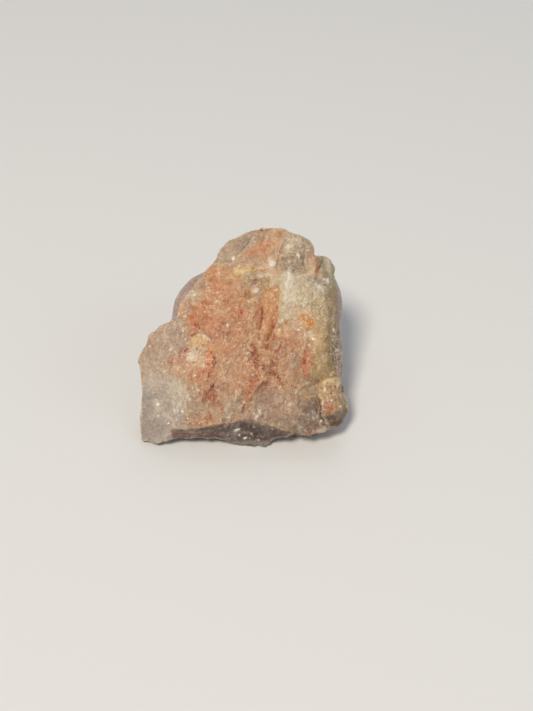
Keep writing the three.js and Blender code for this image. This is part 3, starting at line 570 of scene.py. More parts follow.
        ("rust", 0.4, (-7.6, 5), (1.7, 4)), ("redOrange", 0.3, (-4.6, 5.4), (2.2, 5.2)),
        ("rust", 0.45, (5.1, 6.9), (1.1, 2.8)), ("white", 0.35, (-10, -2.8), (1.5, 1.1)),
        ("plum", 0.75, (-5, -12), (1.6, 2.2)), ("plum", 0.45, (-7.4, -15), (1.5, 1.2)),
        ("greyBeige", 0.4, (-4.8, -15), (1.5, 1.3)), ("sand", 0.35, (-7.6, -9.2), (1.2, 1.1)),
        ("greyBrownAndShade", 0.3, (-0.2, -14.8), (1.5, 1.6)), ("greyBrownAndShade", 0.3, (-12.6, 0), (1.5, 1.4)),
        ("greyBeige", 0.7, (-0.2, -12.4), (1.3, 1.4)), ("sand", 0.35, (2.4, 2), (1.4, 1.6)),
        ("sand", 0.4, (7.4, -8.6), (1.4, 2.2)), ("sand", 0.3, (4.8, -1.4), (1.6, 2.2)),
        ("sand", 0.4, (10, -12.4), (1.4, 1.6)), ("greyBeige", 0.45, (7.2, -17.4), (1.5, 1.3)),
        ("cream", 0.35, (17.4, 15), (1.3, 1)), ("cream", 0.4, (14.8, 12.6), (1.6, 1.2)),
        ("warmGrey", 0.8, (12.4, 2.5), (1.4, 1.1)), ("greyBrownAndShade", 0.3, (13, 15.3), (1.4, 0.8)),
        # painted shade on the strip that turns away to the right
        ("khakiAndShade", 0.6, (19.9, -3), (1.1, 6.8)), ("greyBrownAndShade", 0.3, (17.3, -10.8), (1.3, 1.8)),
        ("khakiAndShade", 0.3, (13.8, -8.2), (2, 2)), ("khakiAndShade", 0.2, (15, -12.4), (4, 2.6)),
        # painted shade along the bottom edge
        ("greyBrownAndShade", 0.55, (-13.4, -20.2), (3.6, 1)), ("greyBrownAndShade", 0.7, (-2.6, -19.6), (1.4, 1)),
        ("greyBrownAndShade", 0.5, (9.4, -20.2), (3.6, 1.2), -10), ("lilacGrey", 0.5, (-12.6, 8.4), (1.4, 2.2)),
        ("lilacGrey", 0.35, (-9.2, 12.6), (2.2, 1.4)), ("greyBeige", 0.5, (15, 17.2), (0.9, 1.8)),
        ("lilacGrey", 0.35, (-15, -16.5), (5.4, 5)), ("warmGrey", 0.4, (-17.6, -15.2), (1.6, 1.6)),
        ("paleLilac", 0.45, (-15, -13.4), (1.6, 2.6)), ("paleLilac", 0.3, (-10.4, -13.2), (1.6, 1.6)),
        ("paleLilac", 0.3, (-20, -9.4), (2, 3)), ("cream", 0.35, (20, -14.2), (1.2, 1.6)),
    ],
    "lines": [  # colour, strength, half width, points
        ("redOrange", 0.8, 0.6, [(3.3, -7.6), (2.6, -9.7), (1.7, -11.6), (0.2, -14.2)]),
        ("flame", 0.7, 0.26, [(-11.7, 5.8), (-11, 4.4), (-10.2, 2.4)]),
        ("redOrange", 0.4, 0.3, [(8.6, 11), (8.3, 8), (7.9, 5.2)]),
        ("cream", 0.7, 0.32, [(9.7, 10.8), (9.4, 8), (9, 4.8)]),
        ("white", 0.7, 0.26, [(11.5, 15.6), (11, 13.6), (10.6, 11.4)]),
        ("flame", 0.6, 0.42, [(14.9, -3.4), (14.6, -5.6), (14.4, -7.4), (14.6, -9.6)]),
        ("redOrange", 0.5, 0.3, [(15.9, -2.6), (15.7, -4.8)]),
        ("brightOrange", 0.85, 0.6, [(-7.7, -0.9), (-7.5, -2.8), (-7.8, -5.6)]),
        ("flame", 0.45, 0.4, [(-7.6, -2.6), (-7.7, -5), (-7.4, -7), (-8, -9)]),
        ("plum", 0.35, 0.4, [(12.6, -22.2), (15.3, -22.6), (18.3, -22.7)]),
        ("ochre", 0.6, 0.22, [(9.2, 11), (9, 8), (8.5, 4.2)]),
        ("amber", 1, 0.62, [(13.7, 4.9), (14.3, 4.5), (14.7, 3.8)]),
        ("amber", 1, 0.58, [(15.2, 3.7), (16.4, 3.3), (15.8, 2.6), (15.4, 1.6)]),
        # painted highlight on the chip's upper edge
        ("white", 0.7, 0.22, [(-9.8, 1.9), (-8.1, 0.5), (-7.3, -0.5)]),
        # painted highlight along the lip under the top scoop
        ("cream", 0.7, 0.28, [(-6.4, 17.4), (-4.7, 17.3), (-2.3, 17.3), (-1.4, 17.9)]),
        # painted highlight on the lit left edge of the lower block, over its pale crystalline edge
        ("cream", 0.8, 0.3, [(17.2, -12.6), (18.3, -14.7), (18.4, -16.6)]),
        ("flakeCream", 0.8, 0.28, [(17.9, -11.6), (18.9, -10.4), (20.4, -9.9), (22.8, -9.9)]),
        ("cream", 0.4, 0.22, [(12.8, -17.8), (14.7, -18.3)]),
        # painted shade along the right rim
        ("greyBrownAndShade", 0.5, 0.6, [(22.9, 11), (22.7, 3), (22.9, -4), (23.3, -9)]),
        ("redOrange", 0.8, 0.34, [(17.5, 18.6), (17.9, 17), (18.3, 15.2)]),
        ("white", 0.7, 0.22, [(19, 13.6), (20.2, 13.5), (20.5, 12.3)]),
        ("white", 0.6, 0.35, [(17.2, 12.3), (18.2, 11.5), (19.1, 10.9)]),
        ("white", 0.5, 0.4, [(11.3, 8.9), (12.6, 8.7)]),
        ("cream", 0.4, 0.2, [(14.2, -19.3), (15.3, -17.6)]),
        ("cream", 0.5, 0.25, [(12.6, -12.6), (14.2, -13.2)]),
        # painted highlight along the bottom ridge
        ("greyBeige", 0.35, 0.45, [(-17, -20.4), (-12, -20.4), (-6, -19.9), (-2, -18.9)]),
        # painted shade where the face turns down to its underside
        ("greyBrownAndShade", 0.6, 0.7, [(-1, -18.9), (1, -18.9), (4, -20), (8, -21), (11.4, -22)]),
        ("warmGrey", 0.35, 0.25, [(-14.7, -21.6), (-10.9, -21.8), (-7, -21.4)]),
        ("plum", 0.3, 0.3, [(-15.6, -22.4), (-10.9, -22.5), (-6, -22)]),
        ("warmGrey", 0.35, 0.35, [(-6, -22.4), (-2, -22), (2, -22.3)]),
        ("lilacGrey", 0.5, 0.45, [(-13.3, -23.3), (-8.6, -23.5), (-2.3, -24.7), (4.7, -24.7),
            (7.7, -23.7)]),
    ],
    "veins": [  # where iron gathers in dark red flecks: strength, half width, points
        (1, 0.26, [(5.1, 7.4), (5, 6.2), (4.7, 5), (4.4, 3.2), (4.3, 2)]),
        (1, 0.38, [(7.7, 3.2), (7.3, 2.5), (7, 1.8)]), (0.8, 0.3, [(7, 1.8), (6.4, 0.6), (5.6, -0.8)]),
        (0.6, 0.25, [(6, 1.2), (5.4, 0.2), (5, -0.6)]), (0.55, 0.3, [(1.3, 1.8), (1.4, 0.2), (1.6, -1.4)]),
        (0.85, 0.7, [(2, -1.6), (2.9, -3.2), (3.3, -4.8), (3.1, -7.1)]),
        (0.8, 0.26, [(8.9, -1.4), (8.7, -2.6), (7.6, -3.3)]),
        (0.75, 0.3, [(4.3, -6.5), (6, -6.5), (7.2, -6.8)]),
        (0.7, 0.4, [(6.2, -6.6), (7.4, -8), (8.7, -9.4), (9.2, -10.7)]),
        (0.65, 0.3, [(7.9, -11), (10.8, -10.6)]), (0.6, 0.5, [(3.6, -9.6), (4.4, -10.4), (6.2, -10.6)]),
        (0.6, 0.5, [(3.2, -8.6), (2.6, -10.7), (1.4, -12.8), (0.2, -15.2)]),
        (0.6, 0.25, [(0.6, -15.2), (-0.4, -17.3)]), (0.6, 0.25, [(-1.9, -5.3), (-2.4, -6.7)]),
        (0.6, 0.22, [(-4.4, -6.2), (-4.9, -7.4)]),
        (0.8, 0.3, [(-7.1, -2.8), (-6.7, -4.2), (-6.2, -5.4), (-6.7, -6.6)]),
        (0.7, 0.35, [(-7.6, -7.8), (-8, -9.6)]), (1, 0.34, [(-6.7, -10.3), (-7.2, -11.3)]),
        (0.7, 0.3, [(-7.9, -11.6), (-8.6, -13.4), (-9, -14.8)]),
        (0.85, 0.32, [(14.9, -3.8), (14.6, -5.6), (14.4, -7.4), (14.7, -9.4)]),
        (0.7, 0.32, [(-12.6, -2.3), (-14.2, -3)]), (0.7, 0.32, [(-16, -4.6), (-16.9, -5.3)]),
        (1, 0.24, [(-12, 0.9), (-11.2, 1.1), (-10.1, 1.8)]),
        (0.75, 0.26, [(-10.9, 4.8), (-10.5, 3.4), (-10.1, 2.4)]), (0.8, 0.32, [(-6.5, 0.9), (-7, 0.2)]),
        (0.75, 0.3, [(-2.3, 1.8), (-3.1, 1)]), (0.8, 0.32, [(-6.5, 6.5), (-6.9, 5.7)]),
        (0.6, 0.26, [(-11.2, 6.8), (-9.6, 6.4)]), (0.5, 0.22, [(-0.5, 6.4), (0.8, 6)]),
        (0.7, 0.24, [(2.6, 15.6), (3.2, 16.8)]), (0.5, 0.3, [(20.2, -11), (20, -13.8)]),
        (0.5, 0.3, [(21.6, -10.6), (21.7, -13.2)]), (0.6, 0.5, [(-17, -21.6), (-14.6, -22.4)]),
    ],
    "veinSpots": [  # looser scatters of the same: strength, middle, half sizes, turn
        (0.45, (6.6, -7.4), (3.2, 3)), (0.4, (2.8, -4.4), (1.8, 3.6), 10), (0.4, (6.4, 0.4), (2, 2.6), -25),
        (0.45, (5, -10.4), (2.6, 1)), (0.42, (-7, -5.4), (1.2, 2.6)), (0.4, (-7.8, -12), (1.6, 3.2), -20),
        (0.35, (3.8, 12.6), (2.6, 2.4)), (0.4, (15, -5), (1.2, 4.6)), (0.3, (-3, -6), (3.4, 2.4)),
        (0.35, (10.6, -11), (2.6, 1.6)), (0.35, (20.4, -14), (2.2, 3.4)), (0.38, (-9.4, -18.6), (3, 1.2)),
        (0.36, (-10.6, 4.6), (1.4, 3), 15), (0.33, (8.6, -4), (2.6, 3)), (0.33, (-1, -14.8), (2.2, 2.6)),
        (0.36, (-15.4, -4.4), (2.2, 1.4), 30), (0.28, (1.6, 3.6), (2, 3.4)), (0.34, (3, -17.6), (2.6, 1.2)),
    ],
    "paintedGlints": [  # painted glints, white marks where small breaks flash, laid on like crushed white points: middle, half sizes, turn
        ((3.5, 11), (0.75, 0.5)), ((-1.6, 18.6), (0.3, 0.55), -20), ((7.5, 17.3), (0.45, 0.38), 30),
        ((11.6, 17.7), (0.2, 0.2)), ((11.2, 21.4), (0.22, 0.45)), ((13.5, 19.1), (0.2, 0.8), 20),
        ((-5.4, 10.7), (0.2, 0.2)), ((-5.6, 8.6), (0.38, 0.2), 40), ((-3.1, 3.1), (0.32, 0.34)),
        ((8.9, 3.7), (0.55, 0.28), 20), ((9.5, 4.1), (0.25, 0.2)), ((2.4, -8.5), (0.3, 0.3), 30),
        ((1.4, -3.3), (0.26, 0.26)), ((-21.5, -1.4), (0.2, 0.26)), ((-16.5, -2.2), (0.42, 0.16), 35),
        ((-19.9, -15), (0.4, 0.34)), ((-16, -16.4), (0.22, 0.18)), ((-14.2, -16.8), (0.18, 0.35), 20),
        ((-20, -17.7), (0.28, 0.16), 10), ((-11.7, -11.5), (0.18, 0.36), 5),
        ((-10.2, -11.6), (0.18, 0.36), 10), ((-12.2, -13.8), (0.2, 0.38), 20),
        ((3.1, -18.2), (0.55, 0.26), 40), ((3.9, -17.2), (0.28, 0.55), 20), ((2.5, -17.6), (0.24, 0.24)),
        ((-1.5, -21.4), (0.75, 0.26), 20), ((-1, -22.8), (0.28, 0.2), 10), ((1.8, -22.5), (0.22, 0.2)),
        ((0.4, -23.5), (0.42, 0.22), 25), ((11.7, 8.8), (0.5, 0.26)), ((13.3, 1.8), (0.3, 0.24)),
        ((-3.2, -18.2), (0.28, 0.24)), ((18, -19.8), (0.2, 0.34)), ((-11, -8.5), (0.24, 0.24)),
        ((19, -12.2), (0.22, 0.42), 10), ((20.5, -15), (0.3, 0.26)), ((22.7, -16.2), (0.34, 0.24)),
        ((21.5, 1.6), (0.22, 0.45), 10), ((-10.8, 10.2), (0.3, 0.3)), ((9.9, -14.9), (0.28, 0.16), 20),
    ],
    "filmZones": [  # where films of iron oxide thread the grain: strength, middle, half sizes, turn
        (0.8, (5.5, -7), (6, 7.4), -15), (0.6, (-7.5, -9), (3.6, 8), -8), (0.9, (15, -5), (1.4, 6)),
        (0.4, (1, 5), (9, 6)), (0.4, (5, 21), (3.4, 1.8), 25), (0.3, (11, -8), (3.5, 6)),
        (0.6, (-10.8, 4), (2, 3.6), 15), (0.8, (-9.5, -19), (4, 1.4)), (0.7, (-14.5, -4), (2.6, 2.2), 30),
        (0.4, (6.5, -16), (5, 3.5)), (0.5, (20.5, -14.5), (2, 2.6)),
    ],
    "frostZones": [  # where crushed grains stand white: strength, middle, half sizes, turn
        (1, (4.6, 13.3), (2.8, 2.2)), (1, (3.4, -17.7), (2.2, 1.5), 20), (0.8, (22, -3), (1.6, 8)),
        (0.35, (18.6, 0), (2.2, 9)), (0.9, (18, 6.4), (2.4, 4.6)), (0.6, (12, 20), (3, 3.4)),
        (0.5, (13.5, 9.5), (5.5, 6)), (0.08, (-18.5, -15.5), (5, 6.5)), (0.6, (-10.5, -2.6), (2.8, 4.4)),
        (0.5, (1, -22.5), (4.5, 1.8)), (0.9, (19, 12), (2.5, 2)), (0.6, (21, -12.5), (2.5, 3)),
        (0.3, (-9.5, -11.5), (3, 3)),
    ],
    "stray": 0.3,             # mm, how far the outlines of spots and lines wander
    "speckle": 0.5,           # how far a fine noise breaks them up
    "stains": (0.28, 0.34),   # rust and sand, over the red parts
    "paintedGlintStrength": 0.95,
    "veinHalo": (2.2, 0.45),  # breadth of the rust beside a vein, in its half widths, and strength
    "veinCore": 1.15,         # breadth of the flecks, in the same
    # painted light on crests and painted shade in hollows, following the relief
    "paintedCrestLight": 0.25,
    "paintedHollowShadeAndCrestLight": (0.35, 0.2),   # painted shade and light: how much darker hollows are painted, and how much paler crests
    "wallTones": ("paleSalmon", "lilacGrey", "deepSalmon", "cream"),
    "backTone": "lilac",
}


def laidOver(colours, share, name):
    tone = np.array(linearColour(colouring["palette"][name]))
    return colours + (tone - colours) * share[:, None]


def colourStone(piece):
    mesh = piece.data
    points, normals = vertexArrays(mesh)
    u, v, w = toFace(points)
    facing = smooth(normals @ axisW, -0.4, 0.1)
    broken = brokenShare(u, v, w)
    onFace = facing * broken
    wanderU = layeredNoise(u, v, w, 2.6, 2, 4)
    wanderV = layeredNoise(u, v, w, 2.6, 8, 4)
    speckle = layeredNoise(u, v, w, 0.9, 5, 2)
    strayU = colouring["stray"] * layeredNoise(u, v, w, 1.3, 11, 3)
    strayV = colouring["stray"] * layeredNoise(u, v, w, 1.3, 12, 3)

    def speckled(share):
        return np.clip(share * (1.0 + colouring["speckle"] * speckle), 0.0, 1.0)

    colours = np.tile(linearColour(colouring["palette"]["salmon"]), (len(u), 1))
    mottle = 0.5 * layeredNoise(u, v, w, 6.0, 3, 2) + layeredNoise(u, v, w, 2.0, 6, 3)
    colours = laidOver(colours, 0.7 * smooth(mottle, 0.1, 0.7), "pinkBeige")
    colours = laidOver(colours, 0.6 * smooth(-mottle, 0.1, 0.7), "orange")
    stale = layeredNoise(u, v, w, 2.4, 9, 3)
    colours = laidOver(colours, 0.6 * smooth(stale, 0.15, 0.7), "greyBeige")
    for name, strength, soft, ragged, corners in colouring["zones"]:
        depth = insideOf(u + ragged * wanderU, v + ragged * wanderV, corners) + 0.3 * soft * speckle
        colours = laidOver(colours, onFace * strength * smooth(depth, -0.5 * soft, 0.5 * soft), name)
    for name, strength, *oval in colouring["spots"]:
        share = speckled(ovalShare(u + strayU, v + strayV, *oval))
        colours = laidOver(colours, onFace * strength * share, name)
    stain = layeredNoise(u, v, w * 0.6, 1.1, 4, 3)
    redness = smooth(1.0 - colours[:, 1] / colours[:, 0], 0.18, 0.42)
    redness = redness * smooth(colours[:, 0], 0.15, 0.4)
    rusty, sandy = colouring["stains"]
    colours = laidOver(colours, rusty * redness * smooth(stain, 0.0, 0.7), "rust")
    colours = laidOver(colours, sandy * redness * smooth(-stain, 0.0, 0.7), "sand")

    wallShare = broken * (1.0 - facing)
    patches = [layeredNoise(u, v, w, 6.5, 5 + k) for k in range(len(colouring["wallTones"]))]
    colours = laidOver(colours, wallShare, colouring["wallTones"][0])
    for field, name in zip(patches[1:], colouring["wallTones"][1:]):
        colours = laidOver(colours, wallShare * 0.85 * smooth(field + 0.2 * speckle, -0.1, 0.4), name)
    colours = laidOver(colours, 1.0 - broken, colouring["backTone"])

    # painted light and shade: crests are painted paler and hollows darker in colour, following the relief
    crest = np.zeros(len(u))
    for rounds, gain in ((2, 14.0), (12, 3.0)):
        crest = crest + gain * 1000.0 * np.sum((points - evenedOut(mesh, points, rounds)) * normals, axis=1)
    colours = laidOver(colours, colouring["paintedCrestLight"] * smooth(crest, 0.15, 1.2), "cream")
    deeper, lighter = colouring["paintedHollowShadeAndCrestLight"]
    depth = 1.0 + deeper * smooth(-crest, 0.1, 1.3) - lighter * smooth(crest, 0.1, 1.3)
    colours = colours ** depth[:, None]

    for name, strength, width, line in colouring["lines"]:
        share = speckled(lineShare(u + strayU, v + strayV, line, width, 0.8))
        colours = laidOver(colours, onFace * strength * share, name)
    # painted glints: white marks laid on where small breaks flash
    for oval in colouring["paintedGlints"]:
        share = ovalShare(u + 0.5 * strayU, v + 0.5 * strayV, *oval, soft=0.6)
        colours = laidOver(colours, onFace * colouring["paintedGlintStrength"] * share, "white")

    veins = np.zeros(len(u))
    breadth, tinge = colouring["veinHalo"]
    for strength, width, line in colouring["veins"]:
        share = lineShare(u + strayU, v + strayV, line, breadth * width, 0.9)
        colours = laidOver(colours, onFace * tinge * strength * share, "rust")
        core = lineShare(u + strayU, v + strayV, line, colouring["veinCore"] * width, 0.9)
        veins = np.maximum(veins, strength * core)
    veins = np.maximum(veins, strongest(u + strayU, v + strayV, colouring["veinSpots"], 0.7))

    films = strongest(u, v, colouring["filmZones"], 0.8)
    frost = strongest(u, v, colouring["frostZones"], 0.8)
    sidePatches = smooth(layeredNoise(u, v, w, 8.0, 14), 0.2, 0.5)
    films = onFace * films + wallShare * 0.7 * sidePatches
    frost = onFace * np.maximum(frost, 0.03) + wallShare * 0.4 + (1.0 - broken) * 0.1
    busy = onFace * busyShare(u + wanderU, v + wanderV, w) + wallShare * 0.6 + (1.0 - broken) * 0.1
    for name, values in (
        ("ironFilm", films),
        ("frost", frost),
        ("ironVein", onFace * veins + wallShare * 0.15 * sidePatches),
        ("busy", busy),
        ("glassy", np.maximum(onFace * calmShare(u, v), 0.7 * (1.0 - broken))),
    ):
        attribute = mesh.attributes.new(name, "FLOAT", "POINT")
        attribute.data.foreach_set("value", values.astype(np.float32))
    tinted = mesh.attributes.new("stoneTint", "FLOAT_COLOR", "POINT")
    rgba = np.hstack((np.clip(colours, 0.0, 1.0), np.ones((len(u), 1)))).astype(np.float32)
    tinted.data.foreach_set("color", rgba.ravel())


finish = {
    # Flat breaks across the quartz grains: breadth in mm, slope, and how far the depth of
    # colour swings. The finer ones are drawn about twice as coarse as real, to show at all.
    "breaks": ((0.85, 0.34, 0.14), (0.42, 0.85, 0.24), (0.30, 1.00, 0.10)),
    "sparkle": 0.20,          # how far each finest break is brighter or darker than the next
    "stray": 0.5,             # mm that the breaks' outlines wander
    "glintTurn": 0.9,         # how much further the finer breaks turn, which only the gloss sees
    "thread": (0.35, 0.8),    # mm, breadth and length of the light and dark threads of grain
    "cloudSize": 2.4,         # mm, milky clouds inside the stone
    "toneDepth": 0.17,        # how far threads and clouds swing the depth of colour
    "filmSize": 1.1,          # mm between the red films
    "dash": (0.34, 1.0),      # mm, breadth and length of the red iron dashes
    "fleckSize": 0.5,         # mm, the dark red flecks of the veins
    "grit": (0.3, 0.05),      # mm, size and height of what roughens every break
    "calmRelief": 0.38,       # share of the breaks' slope and tone that calm stone keeps
    "veil": (0.06, 0.55),     # strength of the milky veils on clear and on frosted stone
    "veilEdge": (0.50, 0.72),
    "filmWidth": 0.055,
    "filmStrength": 0.6,
    "dashChance": 0.15,
    "dashStrength": 0.7,
    "fleckLimit": (0.74, 0.41),   # what the fleck noise has to pass, off and on a vein
    "fleckEdge": 0.05,
    "fleckStrength": 0.85,
    "crushChance": 0.12,
    "crushStrength": 0.55,
    "roughness": (0.5, 0.32),     # on broken and on glassy stone
}


def addNode(tree, kind, settings=None, links=None):  # a link from a node is from its first output
    node = tree.nodes.new("ShaderNode" + kind)
    for name, value in (settings or {}).items():
        if isinstance(name, int) or name in node.inputs:
            node.inputs[name].default_value = value
        else:
            setattr(node, name, value)
    for name, source in (links or {}).items():
        tree.links.new(getattr(source, "outputs", [source])[0], node.inputs[name])
    return node


def milkyQuartz():
    # Milky quartz, broken by hand: light sinks a little way in, so thin edges glow and the
    # shade is soft, while small flat breaks on the surface flash like sugar.
    material = bpy.data.materials.new("milkyQuartzBroken")
    material.use_nodes = True
    tree = material.node_tree
    tree.nodes.clear()
    place = addNode(tree, "TexCoord").outputs["Object"]
    tint = addNode(tree, "Attribute", {"attribute_name": "stoneTint"})
    filmMask, frostMask, veinMask, busyMask, glassyMask = [
        addNode(tree, "Attribute", {"attribute_name": name}).outputs["Fac"]
        for name in ("ironFilm", "frost", "ironVein", "busy", "glassy")
    ]
    middle = (0.5, 0.5, 0.5)
    millimetres = addNode(tree, "VectorMath", {"operation": "SCALE", "Scale": 1000.0}, {"Vector": place})

    # outlines of breaks and stains wander
    bend = addNode(tree, "TexNoise", {"Scale": 0.8, "Detail": 2.0}, {"Vector": millimetres})
    bendMiddled = addNode(tree, "VectorMath", {"operation": "SUBTRACT", 1: middle},
                          {0: bend.outputs["Color"]})
    bendScaled = addNode(tree, "VectorMath", {"operation": "SCALE", "Scale": 4.0 * finish["stray"]},
                         {"Vector": bendMiddled})
    strayed = addNode(tree, "VectorMath", {"operation": "ADD"}, {0: millimetres, 1: bendScaled})

    # flat breaks, each with a slope and a tone of its own
    calm = addNode(tree, "MapRange", {"To Min": finish["calmRelief"], "To Max": 1.0}, {"Value": busyMask})
    rise, breakTone = None, None
    for size, slope, swing in finish["breaks"]:
        cells = addNode(tree, "TexVoronoi", {"Scale": 1.0 / size}, {"Vector": strayed})
        cellPlace = cells.outputs["Position"]
        turned = addNode(tree, "VectorMath", {"operation": "SUBTRACT", 1: middle},
                         {0: cells.outputs["Color"]})
        offset = addNode(tree, "VectorMath", {"operation": "SUBTRACT"}, {0: strayed, 1: cellPlace})
        flat = addNode(tree, "VectorMath", {"operation": "DOT_PRODUCT"}, {0: turned, 1: offset})
        sloped = addNode(tree, "Math", {"operation": "MULTIPLY", 1: slope}, {0: flat.outputs["Value"]})
        chance = addNode(tree, "TexWhiteNoise", {}, {"Vector": cellPlace})
        lit = addNode(tree, "MapRange", {"To Min": 1.0 - swing, "To Max": 1.0 + swing}, {"Value": chance})
        if rise:
            sloped = addNode(tree, "Math", {"operation": "ADD"}, {0: rise, 1: sloped})
            lit = addNode(tree, "Math", {"operation": "MULTIPLY"}, {0: breakTone, 1: lit})
        rise, breakTone = sloped, lit

    # the grain and its iron dashes run up the face, leaning right
    alongGrain, alongDashes = [
        addNode(tree, "Mapping", {
            "vector_type": "TEXTURE",
            "Rotation": (0.0, math.radians(stone["grainLean"]), 0.0),
            "Scale": (1.0, length / breadth, length / breadth),
        }, {"Vector": strayed})
        for breadth, length in (finish["thread"], finish["dash"])
    ]
    threads = addNode(tree, "TexNoise", {"Scale": 0.5 / finish["thread"][0], "Detail": 3.0,
                                         "Roughness": 0.65}, {"Vector": alongGrain})
    clouds = addNode(tree, "TexNoise", {"Scale": 1.0 / finish["cloudSize"], "Detail": 5.0,
                                        "Roughness": 0.65}, {"Vector": millimetres})
    both = addNode(tree, "Math", {"operation": "ADD"}, {0: threads, 1: clouds})
    tone = addNode(tree, "MapRange", {
        "From Min": 0.7, "From Max": 1.3,
        "To Min": 1.0 - finish["toneDepth"], "To Max": 1.0 + finish["toneDepth"],
    }, {"Value": both})
    swung = addNode(tree, "Math", {"operation": "SUBTRACT", 1: 1.0}, {0: breakTone})
    wholeTone = addNode(tree, "Math", {"operation": "MULTIPLY_ADD"}, {0: swung, 1: calm, 2: tone})
    coloured = addNode(tree, "Gamma", {}, {"Color": tint, "Gamma": wholeTone})

    # milky veils, thicker where the stone is frosted
    veils = addNode(tree, "TexNoise", {"Scale": 1.0 / finish["cloudSize"], "Detail": 6.0,
                                       "Roughness": 0.7, "Distortion": 0.6}, {"Vector": strayed})
    veilStrength = addNode(tree, "MapRange", {"To Min": finish["veil"][0], "To Max": finish["veil"][1]},
                           {"Value": frostMask})
    veilShare = addNode(tree, "MapRange", {"From Min": finish["veilEdge"][0],
                                           "From Max": finish["veilEdge"][1], "To Min": 0.0},
                        {"Value": veils, "To Max": veilStrength})

    # films of iron oxide: thin wandering threads where a noise crosses its middle value
    films = addNode(tree, "TexNoise", {"Scale": 1.0 / finish["filmSize"], "Detail": 4.0,
                                       "Roughness": 0.7}, {"Vector": alongGrain})
    offMiddle = addNode(tree, "Math", {"operation": "SUBTRACT", 1: 0.5}, {0: films})
    fromMiddle = addNode(tree, "Math", {"operation": "ABSOLUTE"}, {0: offMiddle})
    filmWidth = addNode(tree, "Math", {"operation": "MULTIPLY", 1: finish["filmWidth"]}, {0: filmMask})
    filmShare = addNode(tree, "MapRange", {"interpolation_type": "SMOOTHSTEP", "From Min": 0.0,
                                           "To Min": finish["filmStrength"], "To Max": 0.0},
                        {"Value": fromMiddle, "From Max": filmWidth})

    # short iron dashes between the grains
    dashes = addNode(tree, "TexVoronoi", {"Scale": 1.0 / finish["dash"][0]}, {"Vector": alongDashes})
    dashChance = addNode(tree, "TexWhiteNoise", {}, {"Vector": dashes.outputs["Position"]})
    dashLimit = addNode(tree, "Math", {"operation": "MULTIPLY", 1: finish["dashChance"]}, {0: filmMask})
    isDash = addNode(tree, "Math", {"operation": "LESS_THAN"}, {0: dashChance, 1: dashLimit})
    dashShare = addNode(tree, "Math", {"operation": "MULTIPLY", 1: finish["dashStrength"]}, {0: isDash})

    # dark red flecks that crowd together along the veins
    flecks = addNode(tree, "TexNoise", {"Scale": 1.0 / finish["fleckSize"], "Detail": 2.0,
                                        "Roughness": 0.6}, {"Vector": alongGrain})
    fleckLimit = addNode(tree, "MapRange", {"To Min": finish["fleckLimit"][0],
                                            "To Max": finish["fleckLimit"][1]}, {"Value": veinMask})
    fleckEdge = addNode(tree, "Math", {"operation": "ADD", 1: finish["fleckEdge"]}, {0: fleckLimit})
    fleckShare = addNode(tree, "MapRange", {"interpolation_type": "SMOOTHSTEP", "To Min": 0.0,
                                            "To Max": finish["fleckStrength"]},
                         {"Value": flecks, "From Min": fleckLimit, "From Max": fleckEdge})

    # crushed white grains, thicker where the stone is frosted
    crushLimit = addNode(tree, "MapRange", {"To Min": 0.0, "To Max": finish["crushChance"]},
                         {"Value": frostMask})
    isCrushed = addNode(tree, "Math", {"operation": "LESS_THAN"}, {0: chance, 1: crushLimit})
    crushShare = addNode(tree, "Math", {"operation": "MULTIPLY", 1: finish["crushStrength"]},
                         {0: isCrushed})

    for name, share in (("white", veilShare), ("ironRed", filmShare), ("rust", dashShare),
                        ("darkRed", fleckShare), ("white", crushShare)):
        opaque = (*linearColour(colouring["palette"][name]), 1.0)
        mixed = addNode(tree, "Mix", {"data_type": "RGBA", 7: opaque}, {"Factor": share, 6: coloured})
        coloured = mixed.outputs[2]

    # each of the finest breaks catches more or less light than the next
    caught = addNode(tree, "MapRange", {"To Min": 1.0 - finish["sparkle"],
                                        "To Max": 1.0 + finish["sparkle"]}, {"Value": chance})
    sparkled = addNode(tree, "VectorMath", {"operation": "SCALE"}, {"Vector": coloured, "Scale": caught})

    # relief finer than the mesh
    calmed = addNode(tree, "Math", {"operation": "MULTIPLY"}, {0: rise, 1: calm})
    grit = addNode(tree, "TexNoise", {"Scale": 1.0 / finish["grit"][0], "Detail": 2.0,
                                      "Roughness": 0.6}, {"Vector": millimetres})
    height = addNode(tree, "Math", {"operation": "MULTIPLY_ADD", 1: finish["grit"][1]},
                     {0: grit, 2: calmed})
    bump = addNode(tree, "Bump", {"Strength": 1.0, "Distance": 0.001}, {"Height": height})

    # the gloss sees the finer breaks turned further, so a few flash
    turnedFurther = addNode(tree, "VectorMath", {"operation": "SCALE", "Scale": finish["glintTurn"]},
                            {"Vector": turned})
    summed = addNode(tree, "VectorMath", {"operation": "ADD"}, {0: turnedFurther, 1: bump})
    flatBreaks = addNode(tree, "VectorMath", {"operation": "NORMALIZE"}, {"Vector": summed})

    gloss = addNode(tree, "MapRange", {"To Min": finish["roughness"][0], "To Max": finish["roughness"][1]},
                    {"Value": glassyMask})
    surface = addNode(tree, "BsdfPrincipled", {
        "IOR": 1.544,
        "Subsurface Weight": 0.6,
        "Subsurface Radius": (1.0, 0.6, 0.42),
        "Subsurface Scale": 0.0009,
        "Coat Weight": 0.8,
        "Coat Roughness": 0.1,
        "Coat IOR": 1.54,
    }, {"Base Color": sparkled, "Roughness": gloss, "Normal": bump, "Coat Normal": flatBreaks})
    addNode(tree, "OutputMaterial", {}, {"Surface": surface})
    return material


view = {
    "distance": 248.0,      # mm from the face's middle
    "focalLength": 54.0,    # mm
    "sensorWidth": 36.0,    # mm
    "aim": (5.7, -4.1),     # the point of the face's plane in the picture's middle, u and v
}

